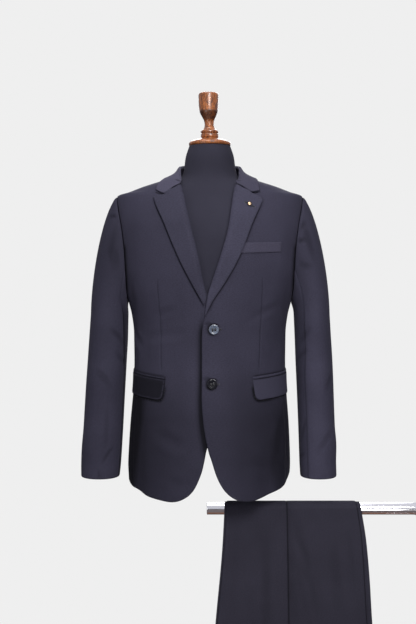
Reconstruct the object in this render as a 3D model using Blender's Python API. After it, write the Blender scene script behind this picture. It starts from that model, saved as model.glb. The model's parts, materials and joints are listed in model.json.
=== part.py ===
"""Two-piece suit: a notch-lapel jacket worn by a limbless dress form, with its folded trousers over a rail.

Metres, +Z up, +X to the viewer's right, the suit faces -Y. The origin is on the plinth's underside, straight
below the form's neck. Left and right in the names are the viewer's, seen from the front.
"""
import math

import bmesh
import bpy
import numpy as np
from mathutils import Vector
from mathutils.geometry import delaunay_2d_cdt

# ---------------------------------------------------------------- driving sizes (metres)
CLOTH = 0.0016            # jacket cloth with its interlining
HALF_SEAM_DEG = 0.07      # half the gap at an upright seam, as an angle round the body
MESH = 0.026              # spacing of points over a large panel
MESH_FINE = 0.014         # spacing over lapels, flaps and welt
SIDE_SEAM_DEG = 68.0      # front panel meets side body
BACK_SEAM_DEG = 113.0     # side body meets back panel
ARMHOLE_STEPS = 32        # points round each armhole
ARMHOLE_LOW, ARMHOLE_TIP = 1.163, 1.407
CUFF_Z = 0.7615
BUTTON_R, CUFF_BUTTON_R, STUD_R = 0.01125, 0.0072, 0.0056
RAIL_R, RAIL_Y, RAIL_Z, RAIL_END, RAIL_POST_X = 0.014, -0.040, 0.6885, -0.007, 0.510
TROUSER_CLOTH, TROUSER_DROP, LAYER_GAP = 0.0014, 0.530, 0.0040
POST_R, POST_X, POST_Y = 0.015, 0.086, 0.050
PLINTH_TOP, PLINTH_X, PLINTH_Y = 0.028, (-0.235, 0.570), (-0.195, 0.195)

# Jacket body, one row per level: height, half width, front depth, back depth, squareness of the section
BODY = [
    (0.700, 0.1838, 0.1500, 0.1480, 2.40),
    (0.756, 0.1848, 0.1490, 0.1490, 2.40),
    (0.793, 0.1864, 0.1470, 0.1490, 2.40),
    (0.840, 0.1852, 0.1430, 0.1460, 2.40),
    (0.892, 0.1827, 0.1380, 0.1400, 2.38),
    (0.944, 0.1788, 0.1320, 0.1300, 2.35),
    (0.989, 0.1757, 0.1270, 0.1200, 2.32),
    (1.039, 0.1738, 0.1240, 0.1120, 2.30),
    (1.090, 0.1750, 0.1250, 0.1110, 2.30),
    (1.134, 0.1810, 0.1280, 0.1160, 2.30),
    (1.163, 0.1885, 0.1310, 0.1200, 2.30),
    (1.191, 0.1975, 0.1330, 0.1240, 2.32),
    (1.236, 0.2080, 0.1350, 0.1290, 2.34),
    (1.289, 0.2130, 0.1320, 0.1310, 2.34),
    (1.333, 0.2165, 0.1240, 0.1280, 2.32),
    (1.378, 0.2185, 0.1080, 0.1170, 2.28),
    (1.407, 0.2155, 0.0955, 0.1070, 2.25),
    (1.418, 0.1870, 0.0900, 0.1010, 2.25),
    (1.430, 0.1560, 0.0840, 0.0955, 2.25),
    (1.440, 0.1245, 0.0785, 0.0900, 2.25),
    (1.448, 0.0980, 0.0735, 0.0845, 2.20),
    (1.4545, 0.0790, 0.0680, 0.0790, 2.15),
    (1.462, 0.0700, 0.0630, 0.0730, 2.10),
]

# Armhole seam, one row per level: height, distance from the centre line
ARMHOLE = [
    (1.163, 0.1885), (1.175, 0.1890), (1.191, 0.1905), (1.236, 0.1925), (1.289, 0.1960),
    (1.333, 0.2020), (1.378, 0.2105), (1.397, 0.2140), (1.407, 0.2155),
]

# Sleeves below the armhole, one row per level: height, left inner, left outer, right inner, right outer, front, back
SLEEVE = [
    (1.135, 0.1895, 0.2765, 0.1955, 0.2785, -0.068, 0.068),
    (1.085, 0.1905, 0.2800, 0.1978, 0.2815, -0.068, 0.070),
    (1.030, 0.1934, 0.2838, 0.1998, 0.2850, -0.066, 0.069),
    (0.952, 0.1974, 0.2888, 0.2030, 0.2878, -0.064, 0.060),
    (0.866, 0.2016, 0.2935, 0.2060, 0.2905, -0.062, 0.048),
    (0.785, 0.2065, 0.2982, 0.2084, 0.2930, -0.060, 0.037),
    (CUFF_Z, 0.2090, 0.2980, 0.2098, 0.2936, -0.060, 0.035),
]
# Forearm seam angle round each sleeve, at the armhole and at the cuff (0 outermost, 90 front, 180 innermost)
FOREARM = {"left": (112.5, 160.0), "right": (112.5, 125.5)}
HINDARM = (247.5, 236.0)

# Outlines on the body, (x, height) in millimetres, seen from the front
ROLL_LEFT = [(-64, 1427), (-61, 1415), (-55, 1387), (-42, 1331), (-27, 1269), (-14, 1206), (-7.2, 1171)]
ROLL_RIGHT = [(57, 1427), (54, 1415), (49.6, 1387), (41.5, 1333), (28.5, 1282), (9, 1222), (-3.3, 1184),
              (-8.7, 1154), (-12, 1128)]
LAPEL_LEFT = [
    [(-64, 1427), (-83, 1416.5), (-102, 1404.5)], [(-102, 1404.5), (-127, 1398)],
    [(-127, 1398), (-118, 1373), (-102, 1338), (-74, 1271), (-40, 1203), (-13.5, 1154.5)],
    [(-13.5, 1154.5), (-10.6, 1160), (-7.2, 1171)],
]
LAPEL_RIGHT = [
    [(57, 1427), (75, 1417.5), (93.5, 1407)], [(93.5, 1407), (119.5, 1394)],
    [(119.5, 1394), (109, 1370), (93, 1334), (69, 1271), (33, 1205), (7, 1166), (-4, 1145), (-12, 1128)],
]
FRONT_EDGE_RIGHT = [(-12, 1128), (-17, 1100), (-18.1, 1060), (-18.1, 986), (-18, 936), (-14, 887), (-5.8, 841), (5.8, 802),
                    (18, 767.5), (34.5, 741), (55, 724.5), (75, 719), (90, 718.8), (105, 721), (133, 731), (152.5, 740),
                    (167, 749)]
FRONT_EDGE_LEFT = [(6, 1146), (22, 1110), (29, 1070), (30, 1000), (29, 940), (22, 885), (8, 856), (-5.8, 837), (-12, 809),
                   (-19, 781), (-32.5, 750), (-43.5, 735.5), (-55, 726.5), (-70, 719.5), (-87, 717), (-111.5, 720),
                   (-142, 727), (-160, 735.5)]
WELT = [(71, 1295), (160.5, 1298), (160.5, 1275), (61, 1270.5)]

# Collar, one row per station from the back of the neck to the gorge, right half: angle and height of the leaf's
# outer edge on the body, then the roll line's x, y, z
COLLAR = [
    (180.0, 1.4410, 0.0000, 0.0735, 1.4900),
    (164.0, 1.4415, 0.0230, 0.0705, 1.4895),
    (146.0, 1.4430, 0.0445, 0.0590, 1.4875),
    (125.0, 1.4450, 0.0600, 0.0390, 1.4840),
    (104.0, 1.4475, 0.0668, 0.0140, 1.4800),
    (86.0, 1.4480, 0.0680, -0.0120, 1.4755),
    (66.0, 1.4430, 0.0675, -0.0380, 1.4640),
    (46.0, 1.4290, 0.0655, -0.0640, 1.4460),
]

COLLAR_POINT = {-1: (122.6, 1415.6), 1: (113.8, 1413.6)}      # front-view x and height of the leaf's points

# Neck edge of the body panels: angle round the neck, height
NECK_EDGE = [(20, 45, 66, 90, 125, 155, 180), (1.427, 1.440, 1.448, 1.4535, 1.4530, 1.4520, 1.4515)]

# Dress form, one row per level: height, half width, front depth, back depth, squareness
FORM = [
    (0.850, 0.1700, 0.1290, 0.1310, 2.35),
    (0.900, 0.1712, 0.1260, 0.1280, 2.35),
    (0.960, 0.1670, 0.1190, 0.1160, 2.32),
    (1.039, 0.1635, 0.1130, 0.1015, 2.28),
    (1.090, 0.1645, 0.1140, 0.1005, 2.28),
    (1.163, 0.1730, 0.1200, 0.1090, 2.28),
    (1.236, 0.1790, 0.1240, 0.1170, 2.28),
    (1.300, 0.1830, 0.1190, 0.1180, 2.26),
    (1.350, 0.1860, 0.1060, 0.1120, 2.22),
    (1.385, 0.1800, 0.0930, 0.1030, 2.18),
    (1.405, 0.1660, 0.0840, 0.0940, 2.12),
    (1.418, 0.1440, 0.0780, 0.0870, 2.10),
    (1.430, 0.1130, 0.0720, 0.0800, 2.05),
    (1.440, 0.0860, 0.0670, 0.0740, 2.00),
    (1.452, 0.0670, 0.0615, 0.0670, 2.00),
    (1.470, 0.0605, 0.0575, 0.0605, 2.00),
    (1.500, 0.0563, 0.0540, 0.0560, 2.00),
    (1.5255, 0.0480, 0.0480, 0.0480, 2.00),
]

# Turned finial above the neck: height, radius
FINIAL = [
    (1.5266, 0.0440), (1.5280, 0.0484), (1.5315, 0.0492), (1.5345, 0.0478), (1.5378, 0.0420), (1.5408, 0.0325),
    (1.5430, 0.0220), (1.5448, 0.0182), (1.5480, 0.0207), (1.5532, 0.0207), (1.5560, 0.0182), (1.5580, 0.0207),
    (1.5608, 0.0207), (1.5642, 0.0158), (1.5695, 0.0120), (1.5760, 0.0108), (1.5830, 0.0114), (1.5925, 0.0152),
    (1.6000, 0.0190), (1.6070, 0.0214), (1.6410, 0.0233), (1.6470, 0.0231), (1.6500, 0.0195), (1.6520, 0.0),
]

# Trousers' outline by distance from the fold over the rail: front half down to the waist, back half to the hems
TROUSER_FRONT = [(0.00, 0.0386, 0.1754, 0.3340), (0.10, 0.0335, 0.1775, 0.3480), (0.28, 0.0174, 0.1802, 0.3590),
                 (0.42, 0.0060, 0.1820, 0.3700), (0.53, 0.0040, 0.1830, 0.3760)]
TROUSER_BACK = [(0.00, 0.0386, 0.1754, 0.3340), (0.15, 0.0470, 0.1760, 0.3190), (0.35, 0.0620, 0.1770, 0.2990),
                (0.53, 0.0730, 0.1780, 0.2860)]

NAVY, NAVY_DARK, JERSEY = (0.042, 0.040, 0.060, 1), (0.030, 0.029, 0.043, 1), (0.045, 0.043, 0.062, 1)
HORN, BRASS, WOOD, CHROME = (0.012, 0.012, 0.018, 1), (0.72, 0.50, 0.26, 1), (0.30, 0.11, 0.045, 1), (0.8, 0.8, 0.82, 1)

for old in list(bpy.data.objects):
    bpy.data.objects.remove(old, do_unlink=True)


# ---------------------------------------------------------------- curves and surfaces
def smooth(t, y):
    """Monotone cubic through (t, y)."""
    t, y = np.asarray(t, float), np.asarray(y, float)
    h = np.diff(t)
    d = np.diff(y) / h
    m = np.zeros(len(t))
    for i in range(1, len(t) - 1):
        if d[i - 1] * d[i] > 0:
            w1, w2 = 2 * h[i] + h[i - 1], h[i] + 2 * h[i - 1]
            m[i] = (w1 + w2) / (w1 / d[i - 1] + w2 / d[i])
    m[0], m[-1] = d[0], d[-1]

    def at(x):
        x = min(max(x, t[0]), t[-1])
        i = min(int(np.searchsorted(t, x, "right")) - 1, len(t) - 2)
        s = (x - t[i]) / h[i]
        return float((2 * s**3 - 3 * s * s + 1) * y[i] + (s**3 - 2 * s * s + s) * h[i] * m[i]
                     + (3 * s * s - 2 * s**3) * y[i + 1] + (s**3 - s * s) * h[i] * m[i + 1])
    return at


def power(value, p):
    return math.copysign(abs(value) ** p, value) if value else 0.0


def bump(x, centre, width):
    """One smooth hump of height 1, `width` each side of its centre."""
    t = (x - centre) / width
    return (1 - t * t) ** 2 if abs(t) < 1 else 0.0


class Rings:
    """Level sections stacked into a surface; v runs up it by distance, phi runs round it from the front."""

    def __init__(self, rows):
        table = np.array(rows)
        self.v = np.concatenate([[0], np.cumsum(np.hypot(np.diff(table[:, 0]), np.diff(table[:, 1])))])
        self.z, self.a, self.f, self.b, self.n = (smooth(self.v, table[:, k]) for k in range(5))
        self.fine_v = np.linspace(0, self.v[-1], 2500)
        self.fine_z = np.array([self.z(q) for q in self.fine_v])

    def v_of(self, z):
        return float(np.interp(z, self.fine_z, self.fine_v))

    def plain(self, phi, v):
        s, c, p = math.sin(math.radians(phi)), math.cos(math.radians(phi)), 2 / self.n(v)
        depth = self.f(v) if c > 0 else self.b(v)
        return Vector((self.a(v) * power(s, p), -depth * power(c, p), self.z(v)))

    def normal(self, phi, v):
        round_it = self.plain(phi + 0.4, v) - self.plain(phi - 0.4, v)
        up = self.plain(phi, min(v + 0.0015, self.v[-1])) - self.plain(phi, max(v - 0.0015, 0))
        return round_it.cross(up).normalized()

    def phi_of(self, x, z):
        """Angle of the point of the front half at this x and height."""
        v = self.v_of(z)
        r = min(abs(x) / self.a(v), 1.0)
        return math.copysign(math.degrees(math.asin(r ** (self.n(v) / 2))), x)

    def phi_after(self, phi, z, distance):
        """Angle reached from phi by walking this far round the level z."""
        v, step = self.v_of(z), math.copysign(0.5, distance)
        left = abs(distance)
        here = self.plain(phi, v)
        while True:
            there = self.plain(phi + step, v)
            gone = (there - here).length
            if gone >= left:
                return phi + step * left / gone
            left, here, phi = left - gone, there, phi + step


body = Rings(BODY)
ROUND = 0.15      # metres of panel plan for one radian round the body


def body_fold(phi, z):
    """The jacket's soft folds: how far the cloth stands out of, or sinks into, the fitted surface."""
    hem = min(max((0.95 - z) / 0.16, 0), 1)
    out = 0.0045 * hem * bump(phi, 57, 15) - 0.0030 * hem * bump(phi, 40, 14)
    out += 0.0040 * hem * bump(phi, -78, 16) - 0.0030 * hem * bump(phi, -58, 13)
    out += 0.0045 * hem * (bump(abs(phi), 142, 16) - 0.6 * bump(abs(phi), 122, 12))
    waist = bump(z, 1.055, 0.09)
    out += 0.0022 * waist * (bump(abs(phi), 78, 18) - bump(abs(phi), 52, 16))
    out += 0.0030 * bump(z, 1.03, 0.05) * bump(abs(phi), 158, 30)
    return out


def on_body(phi, v, lift=0.0):
    return body.plain(phi, v) + body.normal(phi, v) * (lift + body_fold(phi, body.z(v)))


def plan(phi, z):
    """Place in the panel plan: across and up, in metres."""
    return (math.radians(phi) * ROUND, body.v_of(z))


def plan_xz(points):
    """Front-view points in millimetres, carried to the panel plan."""
    return [plan(body.phi_of(x / 1000, z / 1000), z / 1000) for x, z in points]


def through(points, step):
    """Smooth curve through plan points, with a point about every `step`, both ends kept."""
    pts = [Vector((p[0], p[1], 0)) for p in points]
    if len(pts) == 2:
        fine = [pts[0].lerp(pts[1], k / 40) for k in range(41)]
    else:
        d = np.concatenate([[0], np.cumsum([(b - a).length for a, b in zip(pts, pts[1:])])])
        fine = []
        for i in range(len(pts) - 1):
            p0 = pts[i - 1] if i else pts[0] * 2 - pts[1]
            p3 = pts[i + 2] if i + 2 < len(pts) else pts[-1] * 2 - pts[-2]
            p1, p2 = pts[i], pts[i + 1]
            h = d[i + 1] - d[i]
            m1 = (p2 - p0) / (h + (p1 - p0).length) * h
            m2 = (p3 - p1) / (h + (p3 - p2).length) * h
            for k in range(12):
                s = k / 12
                fine.append(p1 * (2 * s**3 - 3 * s * s + 1) + m1 * (s**3 - 2 * s * s + s)
                            + p2 * (3 * s * s - 2 * s**3) + m2 * (s**3 - s * s))
        fine.append(pts[-1])
    d = np.concatenate([[0], np.cumsum([(b - a).length for a, b in zip(fine, fine[1:])])])
    count = max(1, round(d[-1] / step))
    out = []
    for k in range(count + 1):
        q = d[-1] * k / count
        i = min(int(np.searchsorted(d, q, "right")) - 1, len(fine) - 2)
        p = fine[i].lerp(fine[i + 1], (q - d[i]) / (d[i + 1] - d[i]))
        out.append((p.x, p.y))
    out[0], out[-1] = tuple(points[0][:2]), tuple(points[-1][:2])
    return out


def outline(*sides, step):
    """Closed outline from sides that follow each other end to end; a side is (points, kept as they are?)."""
    ring = []
    for points, kept in sides:
        ring += (list(points) if kept else through(points, step))[:-1]
    return ring


def rounded(points, radii, step):
    """Outline through corner points, each corner rounded by its radius."""
    ring, count = [], len(points)
    for i, radius in enumerate(radii):
        before, here, after = (Vector(points[k % count]) for k in (i - 1, i, i + 1))
        if radius:
            a = here + (before - here).normalized() * radius
            b = here + (after - here).normalized() * radius
            ring.append([tuple(a.lerp(here, s).lerp(here.lerp(b, s), s)) for s in (0, 0.25, 0.5, 0.75, 1)])
        else:
            ring.append([tuple(here)])
    out = []
    for i, corner in enumerate(ring):
        out += corner
        out += through([corner[-1], ring[(i + 1) % count][0]], step)[1:-1]
    return out


# ---------------------------------------------------------------- solids
def material(name, colour, roughness=0.85, metallic=0.0, sheen=0.0):
    made = bpy.data.materials.new(name)
    made.use_nodes = True
    shader = made.node_tree.nodes["Principled BSDF"]
    shader.inputs["Base Color"].default_value = colour
    shader.inputs["Roughness"].default_value = roughness
    shader.inputs["Metallic"].default_value = metallic
    shader.inputs["Sheen Weight"].default_value = sheen
    made.diffuse_color = colour
    return made


def add(name, points, faces, look, origin=(0, 0, 0), shade=True):
    """One closed solid with its own material, its origin at a point of use."""
    mesh = bpy.data.meshes.new(name)
    o = Vector(origin)
    mesh.from_pydata([Vector(p) - o for p in points], [], faces)
    work = bmesh.new()
    work.from_mesh(mesh)
    bmesh.ops.recalc_face_normals(work, faces=work.faces)
    if work.calc_volume(signed=True) < 0:
        bmesh.ops.reverse_faces(work, faces=work.faces)
    work.to_mesh(mesh)
    work.free()
    if shade:
        mesh.shade_smooth()
    made = bpy.data.objects.new(name, mesh)
    made.location = o
    bpy.context.collection.objects.link(made)
    mesh.materials.append(material(name, *look))
    return made


def panel(name, ring, look, step=MESH, lift=0.0, thick=CLOTH, extra=()):
    """A cloth panel: its outline in the panel plan, filled, laid on the body and given its thickness.

    lift says how far the panel's outer face stands off the fitted surface, as a number or by plan place.
    """
    stand_off = lift if callable(lift) else (lambda u, v: lift)
    loop = np.array(ring)
    low, high = loop.min(axis=0), loop.max(axis=0)
    inner = [tuple(p) for p in extra]
    row, v = 0, low[1] + step * 0.6
    while v < high[1]:
        u = low[0] + step * (0.35 if row % 2 else 0.85)
        while u < high[0]:
            inner.append((u, v))
            u += step
        v += step * 0.95
        row += 1
    a, b = loop, np.roll(loop, -1, axis=0)
    kept = []
    for k, p in enumerate(inner):
        q = np.array(p)
        ab = b - a
        t = np.clip(((q - a) * ab).sum(axis=1) / (ab * ab).sum(axis=1), 0, 1)
        gap = np.hypot(*(a + ab * t[:, None] - q).T).min()
        crosses = ((a[:, 1] > q[1]) != (b[:, 1] > q[1]))
        with np.errstate(divide="ignore", invalid="ignore"):
            side = q[0] < (b[:, 0] - a[:, 0]) * (q[1] - a[:, 1]) / (b[:, 1] - a[:, 1]) + a[:, 0]
        near = 0.0016 if k < len(extra) else step * 0.5
        if (crosses & side).sum() % 2 and gap > near:
            if k < len(extra) or all(math.dist(p, e) > step * 0.5 for e in extra):
                kept.append(p)
    flat = [Vector(p) for p in [tuple(p) for p in ring] + kept]
    n = len(ring)
    turn = sum(p[0] * q[1] - q[0] * p[1] for p, q in zip(ring, ring[1:] + ring[:1]))
    order = list(range(n)) if turn > 0 else list(range(n))[::-1]
    got = delaunay_2d_cdt(flat, [], [order], 1, 1e-7, True)
    places, triangles = got[0], [f for f, source in zip(got[2], got[5]) if source]
    spot = {ids[0]: i for i, ids in enumerate(got[3])}
    count = len(places)
    outer, under = [], []
    for p in places:
        phi, h = math.degrees(p.x / ROUND), stand_off(p.x, p.y)
        outer.append(on_body(phi, p.y, h))
        under.append(on_body(phi, p.y, h - thick))
    faces = [tuple(f) for f in triangles] + [tuple(i + count for i in reversed(f)) for f in triangles]
    for i in range(n):
        p, q = spot[i], spot[(i + 1) % n]
        faces.append((p, p + count, q + count, q))
    return add(name, outer + under, faces, look)


def grid_shell(name, outer, thick, look, margin=0, origin=(0, 0, 0), flip=1.0):
    """A cloth shell from rows of outer points; its inner face lies `thick` behind, along the points' normals.

    With a margin, the first and last column only steer the normals and aren't part of the piece.
    """
    rows, wide = len(outer), len(outer[0])
    normals = []
    for i in range(rows):
        for j in range(margin, wide - margin):
            up = outer[min(i + 1, rows - 1)][j] - outer[max(i - 1, 0)][j]
            across = outer[i][min(j + 1, wide - 1)] - outer[i][max(j - 1, 0)]
            normals.append(across.cross(up).normalized() * flip)
    outer = [line[margin:wide - margin] for line in outer]
    cols = wide - 2 * margin
    points = [p for line in outer for p in line]
    count = len(points)
    points += [p - nrm * thick for p, nrm in zip(points, normals)]
    faces = []
    for i in range(rows - 1):
        for j in range(cols - 1):
            quad = (i * cols + j, i * cols + j + 1, (i + 1) * cols + j + 1, (i + 1) * cols + j)
            faces += [quad, tuple(count + q for q in reversed(quad))]
    edges = [(j, j + 1) for j in range(cols - 1)]
    edges += [((rows - 1) * cols + j + 1, (rows - 1) * cols + j) for j in range(cols - 1)]
    edges += [((i + 1) * cols, i * cols) for i in range(rows - 1)]
    edges += [(i * cols + cols - 1, (i + 1) * cols + cols - 1) for i in range(rows - 1)]
    faces += [(q, p, p + count, q + count) for p, q in edges]
    return add(name, points, faces, look, origin)


def turned(name, profile, sides, centre, look, axis=(0, 0, 1), cap_low=True):
    """A lathe-turned solid: profile rows are (along, radius); a radius of 0 closes that end to a point."""
    turn = Vector((0, 0, 1)).rotation_difference(Vector(axis))
    centre = Vector(centre)
    points, rows = [], []
    for along, radius in profile:
        if radius == 0:
            rows.append([len(points)])
            points.append(centre + turn @ Vector((0, 0, along)))
        else:
            rows.append(list(range(len(points), len(points) + sides)))
            points += [centre + turn @ Vector((radius * math.cos(2 * math.pi * k / sides),
                                               radius * math.sin(2 * math.pi * k / sides), along))
                       for k in range(sides)]
    faces = []
    for low, high in zip(rows, rows[1:]):
        for k in range(sides):
            j = (k + 1) % sides
            if len(low) == 1:
                faces.append((low[0], high[j], high[k]))
            elif len(high) == 1:
                faces.append((low[k], low[j], high[0]))
            else:
                faces.append((low[k], low[j], high[j], high[k]))
    if len(rows[0]) > 1:
        faces.append(tuple(reversed(rows[0])))
    if len(rows[-1]) > 1:
        faces.append(tuple(rows[-1]))
    return add(name, points, faces, look, centre)


WOOL = (NAVY, 0.88, 0.0, 0.3)
WOOL_SIDE = (NAVY_DARK, 0.88, 0.0, 0.3)

# ---------------------------------------------------------------- armholes
arm_x = smooth([r[0] for r in ARMHOLE], [r[1] for r in ARMHOLE])
ARM_MID, ARM_HALF = (ARMHOLE_LOW + ARMHOLE_TIP) / 2, (ARMHOLE_TIP - ARMHOLE_LOW) / 2


def armhole(step):
    """Point `step` of the right armhole as (phi, z): 0 at the shoulder tip, then the front, the underarm, the back."""
    theta = 2 * math.pi * step / ARMHOLE_STEPS
    z = ARM_MID + ARM_HALF * math.cos(theta)
    phi = body.phi_of(arm_x(z), z)
    if step % ARMHOLE_STEPS in (0, ARMHOLE_STEPS // 2):
        phi = 90.0
    return (phi, z) if theta <= math.pi else (180 - phi, z)


FRONT_JUNCTION, BACK_JUNCTION = 13, 19     # armhole points where the side body's two seams arrive
arm_front = [armhole(k) for k in range(0, FRONT_JUNCTION + 1)]
arm_under = [armhole(k) for k in range(FRONT_JUNCTION, BACK_JUNCTION + 1)]
arm_back = [armhole(k) for k in range(BACK_JUNCTION, ARMHOLE_STEPS + 1)]


def seam_line(phi_low, z_low, phi_high, z_high, side, gap):
    """An upright seam's plan points from low to high, held back by the gap on one side."""
    def lean(t):
        return phi_low + (phi_high - phi_low) * t * t * t
    pts = [plan(side * (lean(k / 6) + gap), z_low + (z_high - z_low) * k / 6) for k in range(7)]
    return through(pts, MESH)


# Hem behind the front panels: angle round the body, height on the left, height on the right
HEM = [(68, 0.7415, 0.7545), (78, 0.7520, 0.7655), (90, 0.7640, 0.7745), (113, 0.7760, 0.7850), (180, 0.8140, 0.8140)]

def body_panels(side, label):
    """Front, side body and back of one side; side is +1 for the viewer's right."""
    mirror = (lambda pts: [plan(side * p, z) for p, z in pts])
    level = smooth([r[0] for r in HEM], [r[1 if side < 0 else 2] for r in HEM])
    front_low, back_low, centre_low = (level(p) for p in (SIDE_SEAM_DEG, BACK_SEAM_DEG, 180))
    seam_front = seam_line(SIDE_SEAM_DEG, front_low, *arm_front[-1], side, -HALF_SEAM_DEG)
    seam_side_f = seam_line(SIDE_SEAM_DEG, front_low, *arm_front[-1], side, HALF_SEAM_DEG)
    seam_side_b = seam_line(BACK_SEAM_DEG, back_low, *arm_back[0], side, -HALF_SEAM_DEG)
    seam_back = seam_line(BACK_SEAM_DEG, back_low, *arm_back[0], side, HALF_SEAM_DEG)
    neck_phi, neck_z = 90.0, 1.4535

    # front panel: hem and front edge, under the lapel up to the neck, shoulder, armhole, side seam
    edge = FRONT_EDGE_RIGHT if side > 0 else FRONT_EDGE_LEFT
    roll = ROLL_RIGHT if side > 0 else ROLL_LEFT
    tucked = [(x + side * 5.0, z) for x, z in roll if z > 1170]
    base = plan_xz(edge)
    base.append(plan(side * (SIDE_SEAM_DEG - HALF_SEAM_DEG), front_low))
    up = plan_xz(list(reversed(tucked)))
    if side > 0:
        up = plan_xz([(-12, 1128), (-5, 1150), (2, 1180)]) + up[1:]
    else:
        up = plan_xz([(6, 1146), (-2, 1163), (-8.5, 1184)]) + up[1:]
    neck = [up[-1], plan(side * 45, 1.4400), plan(side * 66, 1.4480), plan(side * (neck_phi - 0.1), neck_z)]
    tip = arm_front[0]
    shoulder = [neck[-1]] + [plan(side * (90 - 0.1), z) for z in (1.448, 1.440, 1.430, 1.418)]
    shoulder.append(plan(side * tip[0], tip[1]))
    ring = outline((base[::-1], False), (up, False), (neck, False), (shoulder, True), (mirror(arm_front), True),
                   (seam_front[::-1], True), step=0.018)
    if side > 0:
        panel(f"front_{label}", ring, WOOL)
    else:
        def under_lap(u, v):
            phi, z = math.degrees(u / ROUND), body.z(v)
            return -0.0026 * min(max((phi + 14) / 8, 0), 1) * min(max((z - 0.795) / 0.035, 0), 1)
        panel(f"front_{label}", ring, WOOL, lift=under_lap)

    # side body
    hem = [seam_side_b[0]] + [plan(side * p, level(p)) for p in (102, 90, 78)] + [seam_side_f[0]]
    ring = outline((hem, False), (seam_side_f, True), (mirror(arm_under), True), (seam_side_b[::-1], True), step=MESH)
    panel(f"side_body_{label}", ring, WOOL_SIDE)

    # back: centre seam, hem, side seam, armhole, shoulder, neck
    centre = [plan(side * 179.96, z) for z in (centre_low, 0.90, 1.04, 1.18, 1.30, 1.40, 1.4515)]
    hem = [centre[0], plan(side * 145, level(145)), seam_back[0]]
    neck_b = [plan(side * (90 + 0.1), neck_z), plan(side * 125, 1.4530), plan(side * 155, 1.4520), centre[-1]]
    shoulder_b = [plan(side * 90, tip[1])]
    shoulder_b += [plan(side * (90 + 0.1), z) for z in (1.418, 1.430, 1.440, 1.448)] + [neck_b[0]]
    arm = mirror(arm_back)
    arm[-1] = shoulder_b[0]
    ring = outline((hem, False), (seam_back, True), (arm, True), (shoulder_b, True), (neck_b, False),
                   (centre[::-1], False), step=MESH)
    panel(f"back_{label}", ring, WOOL)


body_panels(-1, "left")
body_panels(1, "right")


# ---------------------------------------------------------------- lapels, pockets
def roll_distance(roll):
    """Distance across the lapel from its roll line, by plan place."""
    line = plan_xz(roll)
    vs, us = [p[1] for p in line][::-1], [p[0] for p in line][::-1]

    def away(u, v, side):
        return side * (u - float(np.interp(v, vs, us)))
    return away


def lapel(side, label, sides, roll):
    away = roll_distance(roll)

    def lift(u, v):
        d, z = max(away(u, v, side), 0.0), body.z(v)
        high = min(max((z - 1.16) / 0.10, 0), 1)
        bloom = (0.0016 + 0.0036 * high) * math.exp(-d / 0.030)
        rest = 0.0030 + 0.0016 * high
        dip = (0.0058 + 0.0010 * high) * min(max((z - 1.17) / 0.035, 0), 1)
        return rest + bloom - dip * math.exp(-d / 0.0022)
    line = through(plan_xz(roll), MESH_FINE)
    extra = [(u + side * off, v) for off in (0.0025, 0.007) for u, v in line]
    parts = [(plan_xz(s), False) for s in sides] + [(plan_xz(roll[::-1]), False)]
    ring = outline(*parts, step=MESH_FINE)
    panel(f"lapel_{label}", ring, WOOL, step=MESH_FINE, lift=lift, thick=0.0020, extra=extra)


lapel(-1, "left", LAPEL_LEFT, ROLL_LEFT)
lapel(1, "right", LAPEL_RIGHT, ROLL_RIGHT)

welt = plan_xz(WELT)
panel("breast_welt", rounded(welt, (0, 0.002, 0.002, 0), 0.012), WOOL, step=MESH_FINE, lift=0.0021, thick=0.0014)


def flap_outline(side, phi0, z0, z1, length, height, corner):
    """A pocket piece in the plan: from its front top corner round the body, its top edge running from z0 to z1."""
    def spot(s, drop):
        z = z0 + (z1 - z0) * s / length
        phi = body.phi_after(phi0, z, s)
        lean = body.phi_after(phi, z, 0.12 * drop)
        return plan(side * lean, z - drop)
    top = [spot(length * k / 7, 0) for k in range(8)]
    low = [spot(length * k / 7, height) for k in range(8)]
    if not corner:
        return outline((top, True), ([top[-1], low[-1]], False), (low[::-1], True), ([low[0], top[0]], False),
                       step=MESH_FINE)
    a, b = Vector(low[0]), Vector(low[-1])
    front = [Vector(top[0]).lerp(a, 0.62), a + (Vector(top[0]) - a) * 0.12 + (Vector(low[1]) - a) * 0.25,
             a.lerp(Vector(low[1]), 0.85)]
    back = [b.lerp(Vector(low[-2]), 0.6), b + (Vector(top[-1]) - b) * 0.08 + (Vector(low[-2]) - b) * 0.12,
            b.lerp(Vector(top[-1]), 0.3)]
    return outline((top, True), ([top[-1], tuple(back[2])], False), ([tuple(p) for p in back[::-1]], False),
                   ([tuple(back[0])] + low[-2:1:-1] + [tuple(front[2])], False),
                   ([tuple(p) for p in front[::-1]], False), ([tuple(front[0]), top[0]], False), step=0.012)


for side, label, x_front, z_front in ((-1, "left", 0.0990, 0.9880), (1, "right", 0.0950, 0.9885)):
    start = body.phi_of(x_front, z_front)
    ring = flap_outline(side, start, z_front, 1.0050, 0.155, 0.047, True)
    panel(f"pocket_flap_{label}", ring, WOOL, step=MESH_FINE, lift=0.0026, thick=0.0017)
    ring = flap_outline(side, start, z_front + 0.0058, 1.0108, 0.155, 0.0050, False)
    panel(f"pocket_jet_{label}", ring, WOOL, step=MESH_FINE, lift=0.0019, thick=0.0012)


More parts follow.
